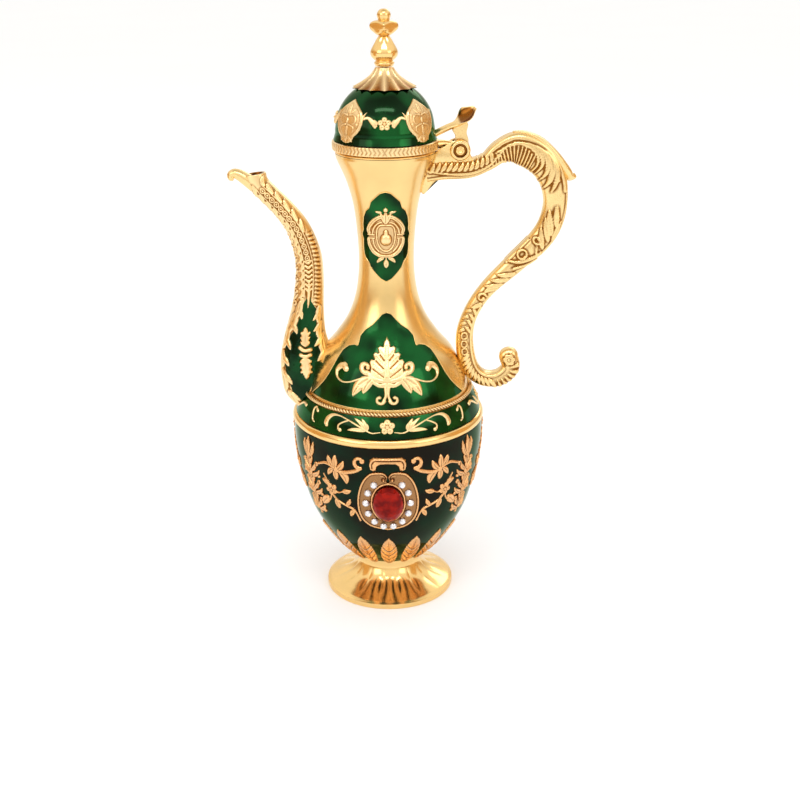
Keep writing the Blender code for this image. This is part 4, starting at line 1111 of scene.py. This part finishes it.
def build_handle():
    """The handle's casting, and the leaf that lies over its arch."""
    handle = Casting(HANDLE_SECTIONS, step=0.28, sides=96, start=3.6, end_cap=4.4, squareness=0.8)
    relief = Relief(handle.t, handle.v, ground=0.0)
    for draw in (handle_bracket, handle_arch, handle_middle, handle_foot):
        draw(relief, handle)
    # the relief's creases carry painted shade
    mesh = closed_tube("handle_casting", handle.points(relief.height * handle.face),
                       crease=relief.creases(CREASE_REACH) * handle.face)
    finish_piece("handle_casting", mesh, CAST_GOLD, "handle")

    leaf = smoothed([(58.0, 228.2, 1.6, 0.8), (64.0, 227.9, 3.0, 1.3), (71.0, 224.6, 4.0, 1.8),
                     (77.2, 218.6, 4.5, 2.2), (81.6, 212.6, 4.4, 2.6), (84.2, 209.2, 3.4, 2.3),
                     (86.2, 208.6, 2.0, 1.4), (87.4, 209.2, 0.8, 0.6)], 8)
    half, thick = leaf[:, 2:3], leaf[:, 3:4]
    turns = np.arange(24) * TAU / 24
    across = half * np.cos(turns)
    rise = thick * np.sin(turns) + 0.9 * (np.abs(across) / half) ** 2 - 0.35 * np.exp(-(across / 0.5) ** 2)
    cast_piece("handle_leaf", swept(leaf, across, rise))


def slab(name, outline, half, body="pot", middle_y=0.0):
    """A plate with softened edges, cut to a smoothed outline of (x, z)."""
    outline = smoothed(outline, 5)
    centre = outline.mean(axis=0)
    loops = []
    for y, shrink in ((-half, 0.93), (0.35 - half, 1.0), (half - 0.35, 1.0), (half, 0.93)):
        ring = centre + (outline - centre) * shrink
        loops.append(np.column_stack([ring[:, 0], np.full(len(ring), middle_y + y), ring[:, 1]]))
    cast_piece(name, np.array(loops), body, sharp=45)


def disc_along_y(name, profile, material, replaced=None, body="pot", side=1, dark=0.0):
    """A piece turned about the hinge's axis from (radius, |y|), with painted shade inside the radius `dark`.
    """
    profile = np.array(profile, float)
    steps = 64
    turns = np.arange(steps) * TAU / steps
    r, y = profile[:, 0:1], profile[:, 1:2] * side
    points = np.stack([HINGE.x + r * np.cos(turns), y + 0 * turns, HINGE.z + r * np.sin(turns)], -1)
    corners = grid_corners(*points.shape[:2])
    # full painted shade inside the radius dark
    mesh = mesh_from(name, points, corners[:, ::-1] if side < 0 else corners,
                     crease=1.0 * (r < dark) + np.zeros(points.shape[:2]))
    finish_piece(name, mesh, material, replaced, body, sharp=50)


EAR_INNER = 3.0      # distances of an ear's faces from the pot's middle plane
EAR_OUTER = 5.6
EAR_RADIUS = 4.7
PIN_BORE = 1.6


def build_hinge():
    """The bracket's crest and root, two ringed ears on cheeks, and the rivet through them."""
    slab("bracket_crest", [(22.0, 212.4), (22.7, 218.6), (23.8, 221.3), (27.0, 221.3), (28.6, 219.3),
                           (29.8, 217.0), (31.6, 215.2), (33.4, 213.4), (31.0, 211.4), (24.0, 211.0)], 3.2)
    slab("bracket_root", [(17.0, 212.6), (27.0, 211.8), (27.0, 209.8), (22.2, 206.6), (17.8, 201.4),
                          (16.0, 202.6)], 2.8)
    face = [(PIN_BORE, EAR_INNER), (PIN_BORE, EAR_OUTER - 1.5), (2.9, EAR_OUTER - 1.5), (3.0, EAR_OUTER - 0.2),
            (3.3, EAR_OUTER + 0.1), (3.9, EAR_OUTER + 0.1), (4.5, EAR_OUTER - 0.4),
            (EAR_RADIUS, EAR_OUTER - 1.0), (EAR_RADIUS, EAR_INNER)]
    cheek = [(34.0, 226.0), (30.6, 225.4), (27.0, 223.4), (23.6, 221.2), (22.4, 218.5), (23.0, 213.5),
             (42.6, 213.5), (40.0, 216.5), (38.4, 220.4), (37.0, 224.4)]
    for label, side in (("front", -1), ("back", 1)):
        # dark=3.05 paints shade into the recess round the rivet
        disc_along_y("hinge_ear_" + label, face, CAST_GOLD, side=side, dark=3.05)
        slab("hinge_cheek_" + label, cheek, 0.5, middle_y=side * (EAR_INNER + 0.5))
    rivet = [(0.02, -EAR_OUTER + 0.5), (0.6, -EAR_OUTER + 0.4), (0.9, -EAR_OUTER), (1.4, -EAR_OUTER - 0.1),
             (1.9, -EAR_OUTER + 0.2), (2.0, -EAR_OUTER + 1.4), (1.3, -EAR_OUTER + 1.4),
             (1.3, EAR_OUTER + 0.3), (2.2, EAR_OUTER + 0.3), (1.9, EAR_OUTER + 1.0), (1.0, EAR_OUTER + 1.2),
             (0.02, EAR_OUTER + 1.25)]
    disc_along_y("hinge_rivet", rivet, GOLD, "hinge_pin")


SPOUT_PANEL = [(60.5, -0.6), (56.0, -1.6), (51.9, -4.4), (46.0, -5.0), (39.8, -6.0), (34.0, -6.4),
               (29.0, -8.0), (22.9, -6.6), (16.0, -2.6), (10.0, 0.6), (7.0, 5.0), (9.4, 7.6), (15.8, 8.8),
               (21.7, 10.0), (28.2, 10.6), (35.8, 8.6), (40.0, 6.2), (42.1, 4.6), (48.6, 3.0), (54.0, 2.4),
               (57.0, 0.8)]


def spout_stem(relief):
    """Bead chain, ribs and leaves on the stem of the spout."""
    for side in (-1, 1):
        relief.stroke([(58, side * 2.0), (75, side * 2.0), (95, side * 1.8), (117, side * 1.7)], (0.32,), 0.5)
    for base in np.arange(76.5, 117.0, 2.9):
        relief.ring(base, 0.0, 1.15, 1.0, 0.36, 0.65)
        relief.ball(base, 0.0, 0.5, height=0.5)
    for base in np.arange(61.0, 75.5, 2.2):
        relief.stroke([(base + 1.0, -1.4), (base, 0.0), (base + 1.0, 1.4)], (0.5, 0.7, 0.5), 0.6)
    for base in np.arange(54.5, 88.0, 1.9):
        relief.stroke([(base, -3.0), (base - 0.6, -5.0)], (0.4, 0.55), 0.4)
    for base in np.arange(88.0, 116.0, 5.4):
        relief.leaf((base, -2.4), (base + 6.0, -4.2), 1.0, 0.1, 0.5)
    for base in np.arange(52.0, 114.0, 4.4):
        relief.leaf((base + 5.2, 2.4), (base + 0.6, 4.6), 0.85, 0.14, 0.42)
        relief.leaf((base + 3.2, 3.0), (base + 6.8, 4.4), 0.5, -0.1, 0.36)
    relief.leaf((66.0, 0.0), (52.5, -0.4), 0.7, 0, 0.6, 0)
    for base in np.arange(54.0, 114.0, 6.0):
        relief.curl(base, 5.9, 1.0, 0, 300, (0.4, 0.3), 0.5)
        relief.stroke([(base + 1.6, 6.6), (base + 4.4, 5.2)], (0.45, 0.3), 0.45)


def spout_bulb(relief):
    """Broad gold leaves round the enamel panel, and smaller ones that lie over its edge."""
    relief.leaves([((56, 3.4), (46, 5.4), 1.5), ((50, 5.0), (39, 9.0), 1.9), ((43, 8.0), (30, 12.6), 1.9),
                   ((33, 11.8), (20, 13.0), 1.8), ((23, 12.2), (10, 11.4), 1.9), ((12, 9.8), (2, 8.0), 1.8)],
                  0.06, 0.7)
    relief.leaves([((54, -5.6), (44, -6.4), 1.3), ((46, -6.6), (36, -7.6), 1.4),
                   ((38, -8.2), (28, -10.0), 1.7), ((30, -9.6), (20, -9.0), 1.8)], -0.06, 0.7)
    relief.leaves([((52, -5.6), (46.5, -3.2), 1.0), ((46, -7.0), (41, -4.0), 1.1),
                   ((40, -8.4), (34, -4.6), 1.2), ((33, -9.8), (27, -5.6), 1.4),
                   ((25, -9.8), (19, -4.2), 1.5), ((17, -7.4), (11, -1.4), 1.3),
                   ((52, 4.4), (47, 2.0), 1.0), ((45, 7.2), (40, 3.6), 1.2),
                   ((38, 10.4), (32, 6.8), 1.3), ((29, 12.4), (24, 8.2), 1.3),
                   ((20, 12.0), (15, 7.4), 1.3), ((11, 10.0), (6.5, 5.4), 1.2)], 0.1, 0.75)


def spout_ornament(relief):
    """The upright spray on the enamel panel."""
    relief.leaf((34.0, -0.4), (43.4, -0.2), 1.7, 0, 0.9, 0.3)
    for base in (35.6, 37.8, 40.0):
        relief.leaf((base - 1.2, -0.4), (base + 1.0, -2.5), 0.7, 0, 0.7)
        relief.leaf((base - 1.2, -0.4), (base + 1.0, 1.8), 0.7, 0, 0.7)
    relief.stroke([(33.6, 2.0), (32.4, 0.2), (32.6, -2.6)], (1.0,), 0.95)
    relief.stroke([(30.2, 1.8), (29.6, -0.2), (30.2, -2.4)], (1.0,), 0.95)
    relief.leaf((29.0, -0.2), (18.6, -0.2), 2.1, 0, 0.9, 0.3)
    for base in (27.4, 24.8, 22.4):
        relief.leaf((base + 1.4, -0.2), (base - 0.8, -2.9), 0.8, 0, 0.7)
        relief.leaf((base + 1.4, -0.2), (base - 0.8, 2.5), 0.8, 0, 0.7)


ENAMEL_DEPTH = 0.25     # of the panel under the casting's skin
EDGE_ZONE = 4.5         # how far the leaves reach in over the panel's edge


def build_spout():
    """The spout's hollow casting with its enamel panel, and the curled beak at its lip."""
    spout = Casting(SPOUT_SECTIONS, step=0.33, sides=144)
    relief = Relief(spout.t, spout.v, ground=0.0)
    spout_stem(relief)
    spout_bulb(relief)
    ornament = Relief(spout.t, spout.v)
    spout_ornament(ornament)
    everywhere = np.ones(spout.t.shape, bool)
    panel = relief.inside(everywhere, np.array(SPOUT_PANEL)).reshape(spout.t.shape)
    panel = np.where(spout.face > 0.3, panel, -1.0)
    edge_leaves = np.where(panel < EDGE_ZONE, relief.height - 0.2, -1.0)
    enamel = np.minimum(panel, -np.maximum(ornament.height, edge_leaves))
    flat = np.clip(enamel / 0.4, 0, 1)
    relief.height = np.maximum(relief.height, ornament.height) * (1 - flat)
    outer = spout.points(relief.height * spout.face - ENAMEL_DEPTH * flat)
    shrink = 1 - SPOUT_WALL / np.minimum(spout.rows[:, 2:3], spout.rows[:, 3:4])
    middle = spout.middle[:, None]
    inner = middle + (spout.points() - middle) * shrink[..., None]
    rings = np.concatenate([outer, inner[::-1]])
    bare = np.ones(inner.shape[:2])
    # painted shade: in the relief's creases outside, and at 0.8 over the whole inner wall
    mesh = mesh_from("spout_casting", rings, grid_corners(*rings.shape[:2]),
                     crease=np.concatenate([relief.creases(CREASE_REACH) * spout.face, 0.8 * bare]),
                     enamel=np.concatenate([enamel, -bare]))
    finish_piece("spout_casting", mesh, SPOUT_GOLD, "spout")

    beak = smoothed([(-60.2, 205.4, 3.6, 3.3), (-63.6, 208.0, 3.5, 3.0), (-66.8, 210.1, 3.0, 2.6),
                     (-69.3, 211.0, 2.6, 2.2), (-70.8, 210.4, 2.4, 1.9), (-70.8, 209.3, 2.3, 1.8),
                     (-69.6, 208.8, 2.0, 1.3)], 8)
    turns = np.arange(28) * TAU / 28
    cast_piece("spout_beak", swept(beak, beak[:, 2:3] * np.cos(turns), beak[:, 3:4] * np.sin(turns)))


# ---------------------------------------------------------------- lid

SHIELD_HEIGHT = 0.6
LID_SHIELD = [(0, 20.6), (2.0, 18.8), (4.6, 16.7), (6.8, 14.6), (7.7, 13.3), (8.9, 14.9), (8.6, 12.2),
              (8.2, 9.3), (7.4, 6.8), (6.0, 4.9), (4.2, 3.4), (3.4, 1.8), (1.6, 0.8), (0, 0.6)]


def lid_shield(relief):
    """The leaf-edged shield of the dome."""
    relief.plate(both_sides(LID_SHIELD), SHIELD_HEIGHT)
    half = relief.half()
    half.stroke([(0.6, 19.0), (3.2, 16.8), (6.0, 14.2), (7.1, 11.2), (6.7, 8.0), (4.9, 5.4), (2.6, 3.8)],
                (0.35, 0.55, 0.55, 0.4), 0.9)
    relief.leaf((0, 13.2), (0, 18.8), 1.1, 0, 0.95, 0.3)
    half.leaf((0.5, 12.8), (3.6, 15.8), 0.9, 0.1, 0.9)
    half.stroke([(0.6, 12.6), (2.8, 13.0), (4.4, 11.6), (4.2, 9.6), (2.6, 9.2), (2.2, 10.6)], (0.6, 0.4), 0.9)
    half.stroke([(0.6, 8.8), (2.2, 8.4), (3.8, 7.6), (3.6, 5.8), (2.2, 5.4)], (0.6, 0.4), 0.9)
    relief.ball(0, 10.6, 0.9, 1.5, 0.95)
    relief.leaf((0, 8.6), (0, 3.6), 0.9, 0, 0.92, 0.3)
    half.leaf((4.8, 12.2), (6.2, 14.0), 0.55, 0, 0.85)
    half.leaf((4.6, 8.6), (6.2, 9.4), 0.5, 0, 0.85)
    half.leaf((0.4, 4.2), (3.4, 1.4), 0.8, 0, 0.85)
    relief.leaf((0, 4.4), (0, 0.6), 0.8, 0, 0.95)


def lid_garland(relief):
    """A flower between two short garlands."""
    relief.flower(0, 9.8, 3.1, 90, height=1.0)
    half = relief.half()
    half.leaf((3.0, 9.6), (4.6, 11.6), 0.6, 0, 0.8)
    half.leaf((3.4, 8.6), (5.2, 10.8), 0.8, 0, 0.8)
    half.stroke([(4.2, 8.4), (5.4, 10.6), (7.2, 12.2), (9.4, 11.6)], (0.7, 1.2, 0.8, 0.5), 0.85, 0.2)


def rim_spray(angle, r, z):
    """Leaf sprays that lean away from the front, between two turned lines."""
    height = (z - RIM_BOTTOM) / (RIM_TOP - RIM_BOTTOM)
    on_band = (r > RIM_RADIUS - 0.2) & (height > 0.14) & (height < 0.86)
    away = np.abs((angle + math.pi) % TAU - math.pi)
    leaf = np.abs(np.sin(38 * away - 4.0 * np.abs(height - 0.5)))
    return np.where(on_band, 0.24 * leaf ** 0.7 - 0.16, 0.0)


def build_lid():
    """The engraved rim, and the enamelled dome with its shields and garlands."""
    levels = np.linspace(RIM_TOP - 0.8, RIM_BOTTOM + 0.8, 22)
    band = np.column_stack([np.full(len(levels), RIM_RADIUS), levels])
    rim_bore = 19.8
    rim = np.vstack([[(RIM_RADIUS - 0.7, RIM_TOP), (RIM_RADIUS - 0.1, RIM_TOP - 0.3)], band,
                     [(RIM_RADIUS - 0.1, RIM_BOTTOM + 0.3), (RIM_RADIUS - 0.6, RIM_BOTTOM),
                      (rim_bore, RIM_BOTTOM), (rim_bore, RIM_TOP)]])
    turned("lid_band", rim, RELIEF_GOLD, "lid_rim", "lid", steps=720, ripple=rim_spray)
    outer, inner = thickened(DOME_OUTLINE, LID_WALL, 12)
    inside = inner[inner[:, 1] > DOME_BOTTOM + 1][::-1]
    profile = np.vstack([[(STUD_BORE, outer[0, 1])], outer, [(21.6, DOME_BOTTOM)], inside,
                         [(STUD_BORE, inner[0, 1])]])
    turned("dome_shell", profile, GREEN_ENAMEL, "lid_dome", "lid")
    shield = relief_on(DOME, 10.0, 0.2, 21.4, 0.18)
    lid_shield(shield)
    # the flat ground of the shield gets extra painted shade
    ground = shield.height < SHIELD_HEIGHT + 0.06
    sheets_on("lid_shield", shield, RELIEF_GOLD, four_corners(SHIELD_ANGLE), 0.1 * ground, "lid")
    garland = relief_on(DOME, 10.0, 6.0, 14.5, 0.16)
    lid_garland(garland)
    sheets_on("lid_garland", garland, RELIEF_GOLD, {**FACES, "left": FLANKS["left"]}, body="lid")


def build_lever():
    """Knuckle, scooped thumb leaf, rib and arm, which together replace the plain lever."""
    half = 2.7
    knuckle = [(PIN_BORE, -half), (PIN_BORE, half), (3.8, half), (4.3, half - 0.4), (4.3, 0.4 - half),
               (3.8, -half)]
    disc_along_y("lever_knuckle", knuckle[::-1], CAST_GOLD, "lid_lever", "lid")

    leaf = smoothed([(21.8, 228.0, 2.4, 1.6, 0.0, 0.0), (28.6, 231.2, 2.6, 1.6, 0.1, 4.0),
                     (32.6, 232.8, 3.4, 1.5, 0.6, 16.0), (36.0, 234.6, 4.6, 1.1, 2.2, 32.0),
                     (38.6, 236.8, 4.3, 0.9, 2.4, 40.0), (41.0, 239.8, 1.2, 0.7, 0.8, 40.0)], 9)
    half_width, thick, cup, roll = leaf.T[2:, :, None]
    roll = np.radians(roll)
    turns = np.arange(48) * TAU / 48
    across = half_width * np.cos(turns)
    rise = thick * np.sin(turns) * (1 - 0.35 * np.abs(np.cos(turns))) + cup * np.cos(turns) ** 2
    # painted shade in the scoop's hollow
    hollow = np.clip(cup - 0.9, 0, 1) * (np.sin(turns) > 0.2) * (np.abs(np.cos(turns)) < 0.80)
    sideways = across * np.cos(roll) - rise * np.sin(roll)
    upward = rise * np.cos(roll) + across * np.sin(roll)
    cast_piece("lever_leaf", swept(leaf, sideways, upward), "lid", hollow, sharp=60)
    slab("lever_rib", [(31.6, 223.6), (31.8, 227.6), (30.6, 230.8), (35.8, 233.6), (37.6, 232.6),
                       (37.0, 229.0), (37.9, 225.4), (36.6, 223.0)], 2.1, "lid")

    arm = smoothed([(RIM_RADIUS - 0.4, 224.2, 3.6, 1.5), (27.0, 224.0, 2.4, 1.6), (30.0, 223.2, 2.2, 1.9),
                    (33.0, 222.6, 2.2, 2.0)], 6)
    x, z, half_width, thick = arm.T[:, :, None]
    turns = np.arange(24) * TAU / 24
    rings = np.stack([x + 0 * turns, half_width * np.cos(turns), z + thick * np.sin(turns)], -1)
    cast_piece("lever_arm", rings, "lid")


def build_finial():
    """The umbrella-fluted skirt, the ribbed pear bulb and the knob: a four-pointed collar and a drop."""
    hem = SKIRT_BOTTOM + 0.5
    knob_base = BULB_TOP + GAP
    flutes = 14

    def flute(angle, r, z):
        spread = np.clip((SKIRT_TOP - z) / (SKIRT_TOP - hem), 0, 1)
        wave = 0.5 - np.abs(np.sin(flutes * angle / 2)) ** 0.7
        return (0.4 + 0.12 * r) * spread ** 0.5 * wave * (r > 3.9)

    def ribs(angle, r, z):
        """Ten soft ribs round the top of the bulb."""
        return 0.16 * np.exp(-((z - 269.8) / 1.2) ** 2) * np.cos(10 * angle) * (r > 2)

    def points(angle, r, z):
        """Draws the round collar out to four points, on X and on Y."""
        star = (np.abs(np.cos(angle)) ** 1.1 + np.abs(np.sin(angle)) ** 1.1) ** (-1 / 1.1)
        return r * (star - 1) * np.exp(-((z - 275.4) / 2.4) ** 4)

    skirt = smoothed([(4.1, SKIRT_TOP), (4.9, 256.4), (6.6, 254.2), (9.4, 252.0), (12.2, 250.2),
                      (13.8, hem)], 8)
    under = [(13.2, hem - 0.3), (9.0, 250.6), (STUD_BORE, 252.2), (STUD_BORE, SKIRT_TOP)]
    turned("skirt_casting", np.vstack([skirt, under]), RELIEF_GOLD, "finial_skirt", "lid", steps=420,
           ripple=flute, depth=3.0, sharp=70)

    bulb = smoothed([(2.5, BULB_TOP), (3.3, 270.0), (4.9, 267.4), (6.1, 264.9), (5.9, 262.9), (4.7, 261.4),
                     (3.9, 260.8), (4.4, 260.2), (4.5, 259.6), (4.2, 259.0), (4.0, 258.6)], 6)
    bore = [(STUD_BORE, 258.3), (STUD_BORE, BULB_TOP)]
    turned("bulb_casting", np.vstack([bulb, bore]), GOLD, "finial_bulb", "lid", steps=144,
           ripple=ribs, sharp=70)

    knob = smoothed([(0.02, FINIAL_TOP), (1.5, 282.7), (2.6, 281.7), (3.1, 280.3), (2.8, 278.9), (2.7, 278.2),
                     (3.6, 278.0), (4.9, 277.6), (6.0, 276.8), (6.4, 275.5), (5.9, 274.2), (4.6, 272.9),
                     (3.4, 272.0), (2.8, knob_base)], 8)
    turned("knob_casting", np.vstack([knob, [(0.02, knob_base)]]), GOLD, "finial_knob", "lid",
           steps=128, ripple=points, depth=20.0, sharp=60)


# ---------------------------------------------------------------- stage, light and camera

def stage_card(name, corners, material):
    """A flat sheet of the set, outside the part."""
    mesh = bpy.data.meshes.new(name)
    mesh.from_pydata(corners, [], [(0, 1, 2, 3)])
    mesh.materials.append(material)
    card = add_object(name, mesh)
    return card


def build_stage():
    """A plain pale floor."""
    material, tree, shader = new_material("pale_floor", Roughness=0.75)
    tone = between(tree, noise(tree, 3.0))
    tree.links.new(blended(tree, tone, (0.945, 0.94, 0.93), (0.955, 0.95, 0.94)), shader.inputs["Base Color"])
    reach = 8.0
    corners = [(-reach, -reach, 0), (reach, -reach, 0), (reach, reach, 0), (-reach, reach, 0)]
    stage_card("floor", corners, material)


def build_world():
    """A pale room, whose reflections are white before and behind the pot and warm at its sides."""
    world = bpy.data.worlds.new("studio")
    bpy.context.scene.world = world
    world.use_nodes = True
    tree = world.node_tree
    place = tree.nodes.new("ShaderNodeTexCoord")
    parts = tree.nodes.new("ShaderNodeSeparateXYZ")
    tree.links.new(place.outputs["Generated"], parts.inputs["Vector"])
    sideways = tree.nodes.new("ShaderNodeMath")
    sideways.operation = "ABSOLUTE"
    tree.links.new(parts.outputs["X"], sideways.inputs[0])
    room = (0.86, 0.81, 0.73)
    for axis, start, end, colour in ((sideways.outputs[0], 0.40, 0.90, (0.55, 0.34, 0.15)),
                                     (parts.outputs["Z"], 0.15, 0.50, (1.0, 0.97, 0.92)),
                                     (parts.outputs["Z"], 0.80, 0.97, (0.66, 0.61, 0.54))):
        room = blended(tree, between(tree, axis, low_in=start, high_in=end), room, colour)
    path = tree.nodes.new("ShaderNodeLightPath")
    backdrop = blended(tree, path.outputs["Is Glossy Ray"], (0.98, 0.98, 0.975), room)
    background = tree.nodes["Background"]
    tree.links.new(backdrop, background.inputs["Color"])
    background.inputs["Strength"].default_value = 1.08


POT_MIDDLE = Vector((0.0, 0.0, 0.14))


def add_area(name, place, size, power, colour=(1.0, 1.0, 1.0)):
    """A rectangular lamp that points at the middle of the pot."""
    light = bpy.data.lights.new(name, "AREA")
    light.shape = "RECTANGLE"
    light.size, light.size_y = size
    light.energy = power
    light.color = colour
    lamp = add_object(name, light)
    lamp.location = place
    lamp.rotation_euler = (POT_MIDDLE - Vector(place)).to_track_quat("-Z", "Y").to_euler()


def build_lights():
    """Soft studio lamps round the pot."""
    add_area("key", (-1.0, -1.0, 0.85), (0.8, 0.8), 3.4, (1.0, 0.98, 0.95))
    add_area("fill", (1.05, -0.95, 0.75), (0.7, 0.8), 2.4, (1.0, 0.97, 0.93))
    add_area("front", (0.0, -0.72, 1.30), (0.9, 0.15), 3.4)
    add_area("back", (0.5, 1.3, 0.9), (0.8, 0.5), 2.4, (1.0, 0.97, 0.92))


def build_flags():
    """Warm cards beside the pot, seen only in reflections, that give the gold its warmer bands."""
    reach, half_width, top = 0.45, 0.13, 0.45
    for name, side in (("flag_left", -1), ("flag_right", 1)):
        material, tree, shader = new_material(name, Roughness=0.9)
        tone = blended(tree, noise(tree, 2.0), (0.60, 0.36, 0.14), (0.70, 0.43, 0.18))
        tree.links.new(tone, shader.inputs["Base Color"])
        corners = ((-half_width, 0.0), (half_width, 0.0), (half_width, top), (-half_width, top))
        flag = stage_card(name, [(reach * side, y, z) for y, z in corners], material)
        flag.visible_camera = False
        flag.visible_diffuse = False
        flag.visible_shadow = False


CAMERA_PLACE = (0.0059, -0.573, 0.320)
CAMERA_DOWN = 21.1      # degrees under the horizontal
CAMERA_ROLL = -0.42


def build_camera():
    """A normal lens that looks down on the pot a little."""
    camera = bpy.data.cameras.new("camera")
    camera.lens = 56.25
    camera.sensor_width = 36.0
    camera.clip_start = 0.01
    holder = add_object("camera", camera)
    pitch, roll = math.radians(90 - CAMERA_DOWN), math.radians(CAMERA_ROLL)
    holder.matrix_world = (Matrix.Translation(CAMERA_PLACE) @ Matrix.Rotation(pitch, 4, "X")
                           @ Matrix.Rotation(roll, 4, "Z"))
    bpy.context.scene.camera = holder
    bpy.context.scene.view_settings.view_transform = "Standard"


for build in (build_camera, build_stage, build_world, build_lights, build_flags, clad_plain_nodes,
              build_foot, build_bowl, build_girdle, build_body, build_panels, build_rope_ring, build_mouth,
              build_jewels, build_handle, build_hinge, build_spout, build_lid, build_lever, build_finial):
    build()
